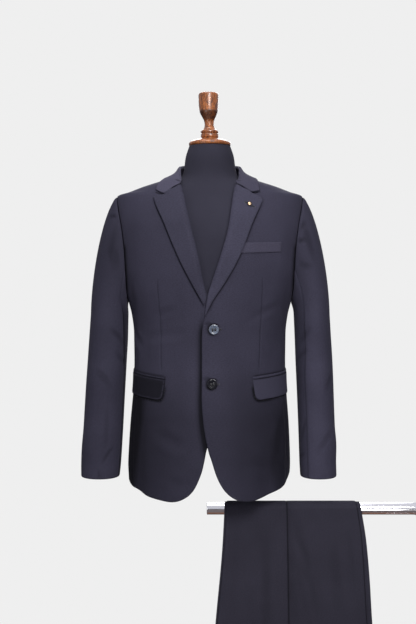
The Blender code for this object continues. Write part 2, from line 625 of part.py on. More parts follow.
# ---------------------------------------------------------------- sleeves
def sleeve_rows(side, label):
    """Rows of points down one sleeve, and the seams' angle on each row: armhole, cap, then the level sections."""
    table = np.array(SLEEVE)
    cols = (1, 2) if side < 0 else (3, 4)
    zs = table[::-1, 0]
    inner, outer, front, back = (smooth(zs, table[::-1, k]) for k in (*cols, 5, 6))

    def tube(theta, z):
        x = (inner(z) + outer(z)) / 2 + (outer(z) - inner(z)) / 2 * power(math.cos(theta), 0.92)
        y = (front(z) + back(z)) / 2 - (back(z) - front(z)) / 2 * power(math.sin(theta), 0.92)
        return Vector((x, y, z))
    top = SLEEVE[0][0]

    def cap(theta, t):
        step = math.degrees(theta) / 360 * ARMHOLE_STEPS
        near = int(round(step))
        phi, z = armhole(near) if abs(step - near) < 1e-6 else (None, None)
        if phi is None:
            (p0, z0), (p1, z1) = armhole(int(step)), armhole(int(step) + 1)
            phi, z = p0 + (p1 - p0) * (step - int(step)), z0 + (z1 - z0) * (step - int(step))
        a = on_body(phi, body.v_of(z)) + Vector((0.0007, 0, 0))
        b = tube(theta, top)
        drop = a.z - b.z
        ta = Vector((0.33, -0.25 * math.sin(theta), -0.30 - 0.35 * (1 - math.cos(theta)))) * drop
        tb = Vector((0.02, 0, -1.15)) * drop
        s = t
        return (a * (2 * s**3 - 3 * s * s + 1) + ta * (s**3 - 2 * s * s + s)
                + b * (3 * s * s - 2 * s**3) + tb * (s**3 - s * s))
    levels = [("cap", t) for t in (0.0, 0.12, 0.28, 0.46, 0.64, 0.82)]
    levels += [("tube", z) for z in (top, 1.095, 1.055, 1.015, 0.970, 0.92, 0.87, 0.82, CUFF_Z)]
    return levels, cap, tube


def sleeve_fold(side, theta, z):
    """Soft creases across the forearm and a slight break at the elbow."""
    t = math.degrees(theta)
    out = 0.0030 * bump(z, 0.835, 0.045) * bump(t, 60 if side < 0 else 40, 70)
    out -= 0.0028 * bump(z, 0.905, 0.050) * bump(t, 75, 70)
    out -= 0.0035 * bump(z, 1.060, 0.060) * bump(t, 95, 75)
    out += 0.0025 * bump(z, 0.985, 0.050) * bump(t, 80, 80)
    return out


def sleeve(side, label):
    levels, cap, tube = sleeve_rows(side, label)
    total = len(levels) - 1
    for half in ("upper", "under"):
        count = 16 if half == "upper" else 9
        rows = []
        for i, (kind, at) in enumerate(levels):
            share = i / total
            fore = FOREARM[label][0] + (FOREARM[label][1] - FOREARM[label][0]) * min(1.0, share * 1.6)
            hind = HINDARM[0] + (HINDARM[1] - HINDARM[0]) * share
            gap = 0.28
            if half == "upper":
                lo, hi = hind - 360 + gap, fore - gap
            else:
                lo, hi = fore + gap, hind - gap
            line = []
            for k in range(-1, count + 2):
                deg = lo + (hi - lo) * k / count
                theta = math.radians(deg % 360)
                p = cap(theta, at) if kind == "cap" else tube(theta, at)
                if kind == "tube":
                    away = Vector((math.cos(theta), -math.sin(theta), 0))
                    p += away * sleeve_fold(side, theta, at)
                    if at == CUFF_Z:
                        p.z -= 0.004 * math.sin(theta)
                line.append(Vector((side * p.x, p.y, p.z)))
            rows.append(line)
        grid_shell(f"{half}_sleeve_{label}", rows, CLOTH, WOOL if half == "upper" else WOOL_SIDE, margin=1,
                   flip=float(side))


sleeve(-1, "left")
sleeve(1, "right")


# ---------------------------------------------------------------- collar
def collar():
    """Stand, roll and leaf in one cloth, swept from gorge to gorge round the neck."""
    half = []
    for phi, z, rx, ry, rz in COLLAR:
        edge = on_body(phi, body.v_of(z), 0.0046)
        roll = Vector((rx, ry, rz))
        seat = on_body(phi, body.v_of(float(np.interp(phi, NECK_EDGE[0], NECK_EDGE[1]))))
        half.append((roll, edge, seat, bump(phi, 98, 42)))
    for side in (-1, 1):
        line = []
        for roll, edge, seat, hollow in half:
            inward = Vector((-roll.x, -roll.y, 0)).normalized()
            outward = -inward
            foot = seat + inward * 0.0045 + Vector((0, 0, 0.0030))
            stand = foot.lerp(roll, 0.55) + inward * 0.0012
            turn_in = roll + inward * 0.0012 + Vector((0, 0, -0.0045))
            turn_out = roll + outward * 0.0062 + Vector((0, 0, -0.0032))
            sag = outward * 0.0020 - (Vector((0, 0, 0.0050)) + outward * 0.0025) * hollow
            fall = [turn_out.lerp(edge, s) + sag * math.sin(math.pi * s) for s in (0.3, 0.65)]
            section = [foot, stand, turn_in, roll + outward * 0.0022 + Vector((0, 0, 0.0006)), turn_out] + fall + [edge]
            line.append([Vector((side * p.x, p.y, p.z)) for p in section])
        # the gorge end: the leaf's end runs out along the lapel's top and up to the collar's point
        top = LAPEL_RIGHT[0] if side > 0 else LAPEL_LEFT[0]
        marks = [(abs(x), z + up) for (x, z), up in zip(top, (3.6, 3.4, 3.0))] + [COLLAR_POINT[side]]
        end = []
        for (x, z), up in zip(marks, (0.0075, 0.0078, 0.0062, 0.0046)):
            end.append(on_body(body.phi_of(x / 1000, z / 1000), body.v_of(z / 1000), up))
        first = end[0]
        foot = first + Vector((0.0030, 0.0055, 0.0025))
        section = [foot, foot.lerp(first, 0.35), foot.lerp(first, 0.7), first + Vector((0.0008, -0.0004, 0)),
                   first.lerp(end[1], 0.35), end[1], end[2], end[3]]
        line.append([Vector((side * p.x, p.y, p.z)) for p in section])
        rows = line[::-1] if side < 0 else rows + line[1:]
    grid_shell("collar", rows, 0.0018, WOOL, flip=-1.0, origin=(0, 0.07, 1.452))


collar()


# ---------------------------------------------------------------- buttons and stud
def button(name, spot, axis, radius, look, sides):
    t = radius * 0.30
    turned(name, [(0, radius * 0.86), (t * 0.45, radius), (t * 0.85, radius * 0.97), (t, radius * 0.86),
                  (t * 0.72, radius * 0.66), (t * 0.66, 0)], sides, spot, look, axis)


HORN_LOOK, BRASS_LOOK = (HORN, 0.28), (BRASS, 0.32, 1.0)
for name, x, z in (("button_upper", 0.0091, 1.1005), ("button_lower", 0.0058, 0.9780)):
    phi = body.phi_of(x, z)
    button(name, on_body(phi, body.v_of(z), 0.0008), body.normal(phi, body.v_of(z)), BUTTON_R, HORN_LOOK, 22)

phi = body.phi_of(0.0882, 1.3831)
spot, out = on_body(phi, body.v_of(1.3831), 0.0076), body.normal(phi, body.v_of(1.3831))
turned("lapel_stud", [(0, STUD_R * 0.75), (0.0008, STUD_R), (0.0016, STUD_R * 0.92), (0.0026, STUD_R * 0.6), (0.0030, 0)],
       18, spot, BRASS_LOOK, out)

for side, label in ((-1, "left"), (1, "right")):
    levels, cap, tube = sleeve_rows(side, label)
    for k in range(4):
        z, theta = CUFF_Z + 0.028 + 0.0165 * k, math.radians(HINDARM[1] + 9)
        p, q = tube(theta, z), tube(theta + 0.02, z)
        along = q - p
        out = Vector((along.y, -along.x, 0)).normalized()
        if out.y < 0:
            out = -out
        p += out * 0.0009
        button(f"cuff_button_{label}_{k + 1}", (side * p.x, p.y, p.z), (side * out.x, out.y, 0), CUFF_BUTTON_R,
               HORN_LOOK, 12)

# ---------------------------------------------------------------- dress form
form = Rings(FORM)


def form_solid():
    sides = 32
    zs = [0.85, 0.90, 0.96, 1.02, 1.08, 1.14, 1.20, 1.26, 1.31, 1.35, 1.375, 1.392, 1.405, 1.418, 1.430, 1.440, 1.452,
          1.468, 1.486, 1.508, 1.5255]
    points, rows = [], []
    first = [form.plain(360 * k / sides, 0) for k in range(sides)]
    for pull, down in ((0.90, 0.0060), (0.965, 0.0035)):
        rows.append(len(points))
        points += [Vector((p.x * pull, p.y * pull, p.z - down)) for p in first]
    for z in zs:
        rows.append(len(points))
        v = form.v_of(z)
        points += [form.plain(360 * k / sides, v) for k in range(sides)]
    faces = [tuple(range(sides))[::-1], tuple(rows[-1] + k for k in range(sides))]
    for low, high in zip(rows, rows[1:]):
        faces += [(low + k, low + (k + 1) % sides, high + (k + 1) % sides, high + k) for k in range(sides)]
    add("form_torso", points, faces, (JERSEY, 0.9, 0.0, 0.2), (0, 0, 0.85))


form_solid()
turned("neck_finial", FINIAL, 20, (0, 0, 0), (WOOD, 0.35))
turned("form_post", [(PLINTH_TOP + 0.0094, POST_R), (0.8436, POST_R)], 24, (POST_X, POST_Y, 0), (CHROME, 0.3, 1.0))
turned("post_flange", [(PLINTH_TOP + 0.0003, 0.045), (PLINTH_TOP + 0.006, 0.045), (PLINTH_TOP + 0.009, 0.040)], 28,
       (POST_X, POST_Y, 0), (CHROME, 0.3, 1.0))


# ---------------------------------------------------------------- rail and plinth
def rail():
    """Upright, bend and level bar in one round tube, ending flat at its free end."""
    sides, bend = 20, 0.045
    path = [(RAIL_POST_X, PLINTH_TOP + 0.0094, 0.0), (RAIL_POST_X, RAIL_Z - bend, 0.0)]
    for k in range(1, 7):
        q = math.radians(90 * k / 6)
        path.append((RAIL_POST_X - bend * (1 - math.cos(q)), RAIL_Z - bend + bend * math.sin(q), q))
    path += [(RAIL_END + 0.0015, RAIL_Z, math.pi / 2), (RAIL_END, RAIL_Z, math.pi / 2)]
    points = []
    for i, (x, z, q) in enumerate(path):
        radius = RAIL_R - (0.0015 if i == len(path) - 1 else 0.0)
        for k in range(sides):
            t = 2 * math.pi * k / sides
            points.append((x + radius * math.cos(t) * math.cos(q), RAIL_Y + radius * math.sin(t),
                           z + radius * math.cos(t) * math.sin(q)))
    last = (len(path) - 1) * sides
    faces = [tuple(range(sides)), tuple(last + k for k in range(sides))]
    for i in range(len(path) - 1):
        faces += [(i * sides + k, i * sides + (k + 1) % sides, (i + 1) * sides + (k + 1) % sides, (i + 1) * sides + k)
                  for k in range(sides)]
    add("rail", points, faces, (CHROME, 0.12, 1.0), (RAIL_POST_X, RAIL_Y, PLINTH_TOP))


rail()
turned("rail_flange", [(PLINTH_TOP + 0.0003, 0.040), (PLINTH_TOP + 0.006, 0.040), (PLINTH_TOP + 0.009, 0.035)], 28,
       (RAIL_POST_X, RAIL_Y, 0), (CHROME, 0.12, 1.0))


def plinth():
    """One board with eased corners and edges."""
    (x0, x1), (y0, y1), corner, ease = PLINTH_X, PLINTH_Y, 0.030, 0.003
    points, rows = [], []
    for z, inset in ((0, 0), (PLINTH_TOP - ease, 0), (PLINTH_TOP - 0.0008, 0.0012), (PLINTH_TOP, ease)):
        rows.append(len(points))
        for cx, cy, start in ((x1, y1, 0), (x0, y1, 90), (x0, y0, 180), (x1, y0, 270)):
            sx, sy = (-1 if cx == x1 else 1), (-1 if cy == y1 else 1)
            for k in range(6):
                q = math.radians(start + 18 * k)
                points.append((cx + sx * corner + (corner - inset) * math.cos(q),
                               cy + sy * corner + (corner - inset) * math.sin(q), z))
    count = 24
    faces = [tuple(range(count))[::-1], tuple(rows[-1] + k for k in range(count))]
    for low, high in zip(rows, rows[1:]):
        faces += [(low + k, low + (k + 1) % count, high + (k + 1) % count, high + k) for k in range(count)]
    add("plinth", points, faces, (WOOD, 0.4), shade=False)


plinth()


# ---------------------------------------------------------------- trousers
def drape(gap, drop_front, drop_back, flare=0.0):
    """Path over the rail, as (distance from the fold, y, z, front?): up the front, over, down the back."""
    r = RAIL_R + gap
    arc = math.pi / 2 * r
    line = []
    for k in range(8):
        d = arc + (drop_front - arc) * (1 - k / 8)
        line.append((d, RAIL_Y - r - flare * (d - arc) / 0.5, RAIL_Z - (d - arc), True))
    line.append((arc, RAIL_Y - r, RAIL_Z, True))
    for k in range(1, 8):
        t = math.pi * k / 8
        line.append((abs(t - math.pi / 2) * r, RAIL_Y - r * math.cos(t), RAIL_Z + r * math.sin(t), t < math.pi / 2))
    line.append((arc, RAIL_Y + r, RAIL_Z, False))
    for k in range(1, 9):
        d = arc + (drop_back - arc) * k / 8
        line.append((d, RAIL_Y + r + flare * (d - arc) / 0.5, RAIL_Z - (d - arc), False))
    return line


front_edges = [smooth([r[0] for r in TROUSER_FRONT], [r[k] for r in TROUSER_FRONT]) for k in (1, 2, 3)]
back_edges = [smooth([r[0] for r in TROUSER_BACK], [r[k] for r in TROUSER_BACK]) for k in (1, 2, 3)]
WOOL_TROUSER = ((0.040, 0.038, 0.056, 1), 0.88, 0.0, 0.3)


def trouser_wave(x, d, front):
    """How far the hanging cloth bellies out, more as it leaves the rail."""
    free = min(d / 0.25, 1.0)
    out = 0.0035 * bump(x, 0.105, 0.060) * bump(d, 0.24, 0.22) * free
    if front:
        out += 0.0055 * bump(x - 0.055 * d / 0.28, 0.190, 0.030) * bump(d, 0.26, 0.20) * free
        out += 0.0030 * bump(x, 0.300, 0.060) * free * bump(d, 0.36, 0.22)
    return out


def trouser_sheet(name, first, gap, thick, look):
    """One outer-leg panel, from the side seam to the crease, draped over the rail."""
    rows = []
    for d, y, z, front in drape(gap, TROUSER_DROP - 0.040, TROUSER_DROP, 0.004):
        edges = front_edges if front else back_edges
        left, seam, right = (e(d) for e in edges)
        lo, hi = (left, seam - 0.0002) if first else (seam + 0.0002, right)
        line = []
        fractions = (0, 0.02, 0.06, 0.14, 0.28, 0.44, 0.62, 0.80, 1.0)
        if not first:
            fractions = tuple(1 - f for f in reversed(fractions))
        away = Vector((0, -1 if front else 1, 0))
        if z > RAIL_Z:
            away = Vector((0, y - RAIL_Y, z - RAIL_Z)).normalized()
        for f in fractions:
            x = lo + (hi - lo) * f
            edge = (x - left) if first else (right - x)
            tuck = 0.0004 * math.exp(-edge / 0.0035)
            line.append(Vector((x, y, z)) + away * (trouser_wave(x, d, front) - tuck))
        rows.append(line)
    grid_shell(name, rows, thick, look, flip=-1.0, origin=(0.18, RAIL_Y, RAIL_Z + RAIL_R))


def trouser_core():
    """The hidden leg layers as one rounded slab over the rail, its turned edges showing as layers."""
    inner_gap, points, rings = 0.0005, [], []
    for d, y, z, front in drape(inner_gap, TROUSER_DROP - 0.002, TROUSER_DROP - 0.004, 0.0):
        edges = front_edges if front else back_edges
        lo, hi = edges[0](d) - 0.0035, edges[2](d) + 0.0075 + (0.0040 if front else -0.002) * min(d / 0.2, 1)
        away = Vector((0, -1 if front else 1, 0))
        if z > RAIL_Z:
            away = Vector((0, y - RAIL_Y, z - RAIL_Z)).normalized()
        depth = 0.0018 + 0.0003 * min(d / 0.1, 1)
        base = Vector((0, y, z))
        loop = []
        xs = [lo + (hi - lo) * k / 10 for k in range(11)]
        for k, x in enumerate(xs):
            inset = 0.0006 if k in (0, 10) else 0.0
            loop.append(base + Vector((x, 0, 0)) + away * inset)
        layer = depth * 0.5
        loop.append(base + Vector((hi + 0.0009, 0, 0)) + away * (layer * 0.55))
        loop.append(base + Vector((hi - 0.0006, 0, 0)) + away * layer)
        loop.append(base + Vector((hi + 0.0006, 0, 0)) + away * (layer * 1.45))
        for k, x in enumerate(reversed(xs)):
            inset = 0.0004 if k in (0, 10) else 0.0
            loop.append(base + Vector((x, 0, 0)) + away * (depth - inset + 0.75 * trouser_wave(x, d, front)))
        loop.append(base + Vector((lo - 0.0009, 0, 0)) + away * (layer * 1.45))
        loop.append(base + Vector((lo + 0.0006, 0, 0)) + away * layer)
        loop.append(base + Vector((lo - 0.0009, 0, 0)) + away * (layer * 0.55))
        rings.append(len(points))
        points.extend(loop)
    count = 28
    faces = [tuple(range(count)), tuple(rings[-1] + k for k in range(count))]
    for low, high in zip(rings, rings[1:]):
        faces += [(low + k, low + (k + 1) % count, high + (k + 1) % count, high + k) for k in range(count)]
    add("trouser_inner_layers", points, faces, WOOL_TROUSER, (0.18, RAIL_Y, RAIL_Z + RAIL_R))


trouser_core()
trouser_sheet("trouser_front_panel", True, LAYER_GAP, TROUSER_CLOTH, WOOL_TROUSER)
trouser_sheet("trouser_back_panel", False, LAYER_GAP, TROUSER_CLOTH, WOOL_TROUSER)


def waistband():
    """The band below the front half's end, and two of its loops."""
    r = RAIL_R + LAYER_GAP
    top, low = TROUSER_DROP - 0.0397, TROUSER_DROP - 0.001
    rows = []
    for d in (low, (low + top) / 2, top):
        left, _, right = (e(d) for e in front_edges)
        z = RAIL_Z - (d - math.pi / 2 * r)
        y = RAIL_Y - r - 0.004 * (d - math.pi / 2 * r) / 0.5 - 0.0008
        rows.append([Vector((left + (right - left) * k / 10, y, z)) for k in range(11)])
    grid_shell("waistband", rows, 0.0022, WOOL_TROUSER, flip=-1.0, origin=(0.18, RAIL_Y, rows[0][0].z))
    for k, x in enumerate((0.085, 0.2900)):
        y = rows[0][0].y - 0.0022
        lo, hi = rows[0][0].z + 0.004, rows[-1][0].z - 0.003
        line = [[Vector((x + dx, y + dy, z)) for dx in (-0.005, 0.005)]
                for z, dy in ((lo, -0.0004), (lo + 0.006, -0.0013), (hi - 0.006, -0.0013), (hi, -0.0004))]
        grid_shell(f"belt_loop_{k + 1}", line, 0.0013, WOOL_TROUSER, flip=-1.0, origin=(x, y, lo))


waistband()
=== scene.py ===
"""Two-piece suit: the notch-lapel jacket on its dress form and the folded trousers over the rail, sewn and finished.

Metres, +Z up, +X to the right of someone facing the suit. Left and right in the names are that viewer's.
"""
import json
import math

import bmesh
import bpy
import numpy as np
from mathutils import Matrix, Vector
from mathutils.geometry import delaunay_2d_cdt

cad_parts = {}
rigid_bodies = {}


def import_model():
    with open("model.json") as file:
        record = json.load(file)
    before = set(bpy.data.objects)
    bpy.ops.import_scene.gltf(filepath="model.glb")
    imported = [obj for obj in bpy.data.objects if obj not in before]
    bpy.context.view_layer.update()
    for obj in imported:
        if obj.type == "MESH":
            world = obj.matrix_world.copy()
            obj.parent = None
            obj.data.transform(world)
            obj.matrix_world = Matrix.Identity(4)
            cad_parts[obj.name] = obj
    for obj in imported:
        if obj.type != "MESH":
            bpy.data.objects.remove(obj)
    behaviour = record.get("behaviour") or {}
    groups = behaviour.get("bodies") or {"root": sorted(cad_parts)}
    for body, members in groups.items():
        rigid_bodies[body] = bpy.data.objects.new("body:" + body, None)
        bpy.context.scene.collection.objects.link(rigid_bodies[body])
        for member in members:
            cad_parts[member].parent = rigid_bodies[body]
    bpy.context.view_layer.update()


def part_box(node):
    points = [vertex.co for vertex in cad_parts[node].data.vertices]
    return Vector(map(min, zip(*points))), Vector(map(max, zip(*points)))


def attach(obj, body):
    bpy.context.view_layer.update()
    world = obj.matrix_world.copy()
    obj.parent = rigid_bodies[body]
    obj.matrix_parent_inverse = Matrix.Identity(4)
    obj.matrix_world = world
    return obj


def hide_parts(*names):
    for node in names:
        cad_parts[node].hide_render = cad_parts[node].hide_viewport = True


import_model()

# ---------------------------------------------------------------- sizes the cutter and the tailor work to (metres)
CLOTH, LAPEL_CLOTH, FLAP_CLOTH, TROUSER_CLOTH = 0.0016, 0.0020, 0.0016, 0.0014
WEAVE_STEP = 0.0056           # spacing of the cloth's points over a large panel
TRIM_STEP = 0.0036            # and over lapels, flaps and welt
PANEL_STEP, LAPEL_STEP, POCKET_STEP = 0.0055, 0.0045, 0.004      # spacing of the points on their outlines
SHADOW_STEP = 0.003
EDGE_ROLL = 0.0013            # how far in from an edge the cloth bends under
INSIDE_PAINTED_SHADE = 0.3             # painted shade on every cloth's inner face
SIDES = ((-1, "left"), (1, "right"))
SIDE_SEAM_DEG, BACK_SEAM_DEG = 68.0, 113.0
ARMHOLE_STEPS, ARMHOLE_LOW, ARMHOLE_TIP = 128, 1.163, 1.407
FRONT_JUNCTION, BACK_JUNCTION = 52, 76
NECK_SIDE_Z, NECK_BACK_Z = 1.4535, 1.4515
SHOULDER_LEVELS = (1.448, 1.440, 1.430, 1.418, ARMHOLE_TIP)
CUFF_Z = 0.7615
BUTTON_R, CUFF_BUTTON_R, STUD_R = 0.01125, 0.0072, 0.0056
BUTTON_THICK, HOLES_AT = 0.30, 0.25                              # shares of a button's radius
CUFF_BUTTON_FIRST, CUFF_BUTTON_PITCH = 0.028, 0.0165
PICK_THICK = 0.00034
RAIL_R, RAIL_Y, RAIL_Z, RAIL_END, RAIL_POST_X, RAIL_BEND = 0.014, -0.040, 0.6885, -0.007, 0.510, 0.045
TROUSER_DROP, TROUSER_FLARE, LAYER_GAP = 0.530, 0.004, 0.0040
BELT_LOOPS = (0.085, 0.290)
POST_R, POST_X, POST_Y, POST_TOP = 0.015, 0.086, 0.050, 0.8436
PLINTH_TOP, PLINTH_X, PLINTH_Y = 0.028, (-0.235, 0.570), (-0.195, 0.195)
ON_FLANGE = PLINTH_TOP + 0.0092
NECK_TOP, FINIAL_LEAN = 1.5260, 0.0032
ROUND = 0.15                  # metres of panel plan for one radian round the body

# jacket body by level: height, half width, front depth, back depth, squareness of the section
BODY = [
    (0.700, 0.1838, 0.1500, 0.1480, 2.40), (0.756, 0.1848, 0.1490, 0.1490, 2.40),
    (0.793, 0.1864, 0.1470, 0.1490, 2.40), (0.840, 0.1852, 0.1430, 0.1460, 2.40),
    (0.892, 0.1827, 0.1380, 0.1400, 2.38), (0.944, 0.1788, 0.1320, 0.1300, 2.35),
    (0.989, 0.1757, 0.1270, 0.1200, 2.32), (1.039, 0.1738, 0.1240, 0.1120, 2.30),
    (1.090, 0.1750, 0.1250, 0.1110, 2.30), (1.134, 0.1810, 0.1280, 0.1160, 2.30),
    (1.163, 0.1885, 0.1310, 0.1200, 2.30), (1.191, 0.1975, 0.1330, 0.1240, 2.32),
    (1.236, 0.2080, 0.1350, 0.1290, 2.34), (1.289, 0.2130, 0.1320, 0.1310, 2.34),
    (1.333, 0.2165, 0.1240, 0.1280, 2.32), (1.378, 0.2185, 0.1080, 0.1170, 2.28),
    (1.407, 0.2155, 0.0955, 0.1070, 2.25), (1.418, 0.1870, 0.0900, 0.1010, 2.25),
    (1.430, 0.1560, 0.0840, 0.0955, 2.25), (1.440, 0.1245, 0.0785, 0.0900, 2.25),
    (1.448, 0.0980, 0.0735, 0.0845, 2.20), (1.4545, 0.0790, 0.0680, 0.0790, 2.15),
    (1.462, 0.0700, 0.0630, 0.0730, 2.10),
]
# dress form by level, in the same columns
FORM = [
    (0.850, 0.1700, 0.1290, 0.1310, 2.35), (0.900, 0.1712, 0.1260, 0.1280, 2.35),
    (0.960, 0.1670, 0.1190, 0.1160, 2.32), (1.039, 0.1635, 0.1130, 0.1015, 2.28),
    (1.090, 0.1645, 0.1140, 0.1005, 2.28), (1.163, 0.1730, 0.1200, 0.1090, 2.28),
    (1.236, 0.1790, 0.1240, 0.1170, 2.28), (1.300, 0.1830, 0.1190, 0.1180, 2.26),
    (1.350, 0.1860, 0.1060, 0.1120, 2.22), (1.385, 0.1800, 0.0930, 0.1030, 2.18),
    (1.405, 0.1660, 0.0840, 0.0940, 2.12), (1.418, 0.1440, 0.0780, 0.0870, 2.10),
    (1.430, 0.1130, 0.0720, 0.0800, 2.05), (1.440, 0.0860, 0.0670, 0.0740, 2.00),
    (1.452, 0.0670, 0.0615, 0.0670, 2.00), (1.470, 0.0605, 0.0575, 0.0605, 2.00),
    (1.500, 0.0563, 0.0540, 0.0560, 2.00), (1.5255, 0.0480, 0.0480, 0.0480, 2.00),
]
# armhole seam: height, distance from the centre line
ARMHOLE = [
    (1.163, 0.1885), (1.175, 0.1890), (1.191, 0.1905), (1.236, 0.1925), (1.289, 0.1960), (1.333, 0.2020),
    (1.378, 0.2105), (1.397, 0.2140), (1.407, 0.2155),
]
# sleeves below the armhole: height, left inner, left outer, right inner, right outer, front, back
SLEEVE = [
    (1.135, 0.1895, 0.2765, 0.1955, 0.2785, -0.068, 0.068), (1.085, 0.1905, 0.2800, 0.1978, 0.2815, -0.068, 0.070),
    (1.030, 0.1934, 0.2838, 0.1998, 0.2850, -0.066, 0.069), (0.952, 0.1974, 0.2888, 0.2030, 0.2878, -0.064, 0.060),
    (0.866, 0.2016, 0.2935, 0.2060, 0.2905, -0.062, 0.048), (0.785, 0.2065, 0.2982, 0.2084, 0.2930, -0.060, 0.037),
    (CUFF_Z, 0.2090, 0.2980, 0.2098, 0.2936, -0.060, 0.035),
]
FOREARM = {"left": (112.5, 160.0), "right": (112.5, 125.5)}     # front sleeve seam, at the armhole and at the cuff
HINDARM = (247.5, 236.0)                                         # back sleeve seam
HEM = [(68, 0.7415, 0.7545), (78, 0.7520, 0.7655), (90, 0.7640, 0.7745), (113, 0.7760, 0.7850), (180, 0.8140, 0.8140)]

# outlines of each side seen from the front, (x, height) in millimetres: the lapels' rolls, their gorge, step and edge
ROLLS = {-1: [(-64, 1427), (-61, 1415), (-55, 1387), (-42, 1331), (-27, 1269), (-14, 1206), (-7.2, 1171)],
         1: [(57, 1427), (54, 1415), (49.6, 1387), (41.5, 1333), (28.5, 1282), (9, 1222), (-3.3, 1184),
             (-8.7, 1154), (-12, 1128)]}
LAPELS = {
    -1: [[(-64, 1427), (-83, 1416.5), (-102, 1404.5)], [(-102, 1404.5), (-127, 1398)],
         [(-127, 1398), (-118, 1373), (-102, 1338), (-74, 1271), (-40, 1203), (-13.5, 1154.5)],
         [(-13.5, 1154.5), (-10.6, 1160), (-7.2, 1171)]],
    1: [[(57, 1427), (75, 1417.5), (93.5, 1407)], [(93.5, 1407), (119.5, 1394)],
        [(119.5, 1394), (109, 1370), (93, 1334), (69, 1271), (33, 1205), (7, 1166), (-4, 1145), (-12, 1128)]],
}
FRONT_EDGES = {
    -1: [(6, 1146), (22, 1110), (29, 1070), (30, 1000), (29, 940), (22, 885), (8, 856), (-5.8, 837), (-12, 809),
         (-19, 781), (-32.5, 750), (-43.5, 735.5), (-55, 726.5), (-70, 719.5), (-87, 717), (-111.5, 720),
         (-142, 727), (-160, 735.5)],
    1: [(-12, 1128), (-17, 1100), (-18.1, 1060), (-18.1, 986), (-18, 936), (-14, 887), (-5.8, 841), (5.8, 802),
        (18, 767.5), (34.5, 741), (55, 724.5), (75, 719), (90, 718.8), (105, 721), (133, 731), (152.5, 740),
        (167, 749)],
}
BREAK = {-1: [(6, 1146), (-2, 1163), (-8.5, 1184)], 1: [(-12, 1128), (-5, 1150), (2, 1180)]}
TUCKED_UNDER_ROLL = 5.0       # how far the fronts run on under the rolls
NOTCH_SHADOW = {-1: [(-123.0, 1412.0), (-114.0, 1408.0), (-104.0, 1407.5)],
                1: [(94.0, 1409.5), (103.0, 1410.0), (113.0, 1413.0)]}
LAPEL_HOLE = ((97.8, 1374.4), (76.8, 1385.2))
WELT = [(71, 1295), (160.5, 1298), (160.5, 1275), (61, 1270.5)]
DARTS = {-1: [(-117.7, 1216), (-115.5, 1170), (-112.3, 1128.8), (-110.5, 1060), (-110.0, 1002)],
         1: [(117.7, 1222), (117, 1170), (115.7, 1128.8), (112.5, 1060), (110.6, 1004)]}
BUTTONS = (("upper", 0.0091, 1.1005), ("lower", 0.0058, 0.9780))
STUD = (0.0880, 1.3803)
# hip pockets: the flaps' front top corners, then sizes shared by both sides
POCKET_FRONT = {-1: (0.0990, 0.9880), 1: (0.0950, 0.9885)}
POCKET_BACK_Z, POCKET_LENGTH, POCKET_SLANT, FLAP_HEIGHT, FLAP_CORNERS = 1.0050, 0.155, 0.12, 0.047, (0.0135, 0.0060)
JET_RISE, JET_HEIGHT = 0.0058, 0.0050

# collar, right half from the back of the neck to the gorge: angle, leaf edge height, then the roll line's x, y, z
COLLAR = [
    (180.0, 1.4410, 0.0000, 0.0735, 1.4900), (164.0, 1.4415, 0.0230, 0.0705, 1.4895),
    (146.0, 1.4430, 0.0445, 0.0590, 1.4875), (125.0, 1.4450, 0.0600, 0.0390, 1.4840),
    (104.0, 1.4475, 0.0668, 0.0140, 1.4800), (86.0, 1.4480, 0.0680, -0.0120, 1.4755),
    (66.0, 1.4430, 0.0675, -0.0380, 1.4640), (46.0, 1.4290, 0.0655, -0.0640, 1.4460),
]
COLLAR_TRIM = {66.0: (1.5, 0.0010), 46.0: (4.5, 0.0)}           # on the right the leaf's edge lies this much further in
COLLAR_POINT = {-1: (122.6, 1415.6), 1: (113.8, 1413.6)}
NECK_EDGE = [(20, 45, 66, 90, 125, 155, 180), (1.427, 1.440, 1.448, 1.4535, 1.4530, 1.4520, 1.4515)]
# turned finial: height, radius
FINIAL = [
    (1.5266, 0.0440), (1.5280, 0.0484), (1.5315, 0.0492), (1.5345, 0.0478), (1.5378, 0.0420), (1.5408, 0.0325),
    (1.5430, 0.0220), (1.5448, 0.0182), (1.5480, 0.0207), (1.5532, 0.0207), (1.5560, 0.0182), (1.5580, 0.0207),
    (1.5608, 0.0207), (1.5642, 0.0158), (1.5695, 0.0120), (1.5760, 0.0108), (1.5830, 0.0114), (1.5925, 0.0152),
    (1.6000, 0.0190), (1.6070, 0.0214), (1.6410, 0.0233), (1.6470, 0.0231), (1.6500, 0.0195), (1.6520, 0.0),
]
# trousers by distance from the fold over the rail: left edge, side seam, right edge
TROUSER_FRONT = [(0.00, 0.0386, 0.1754, 0.3340), (0.10, 0.0335, 0.1775, 0.3480), (0.28, 0.0174, 0.1802, 0.3590),
                 (0.42, 0.0060, 0.1820, 0.3700), (0.53, 0.0040, 0.1830, 0.3760)]
TROUSER_BACK = [(0.00, 0.0386, 0.1754, 0.3340), (0.15, 0.0470, 0.1760, 0.3190), (0.35, 0.0620, 0.1770, 0.2990),
                (0.53, 0.0730, 0.1780, 0.2860)]

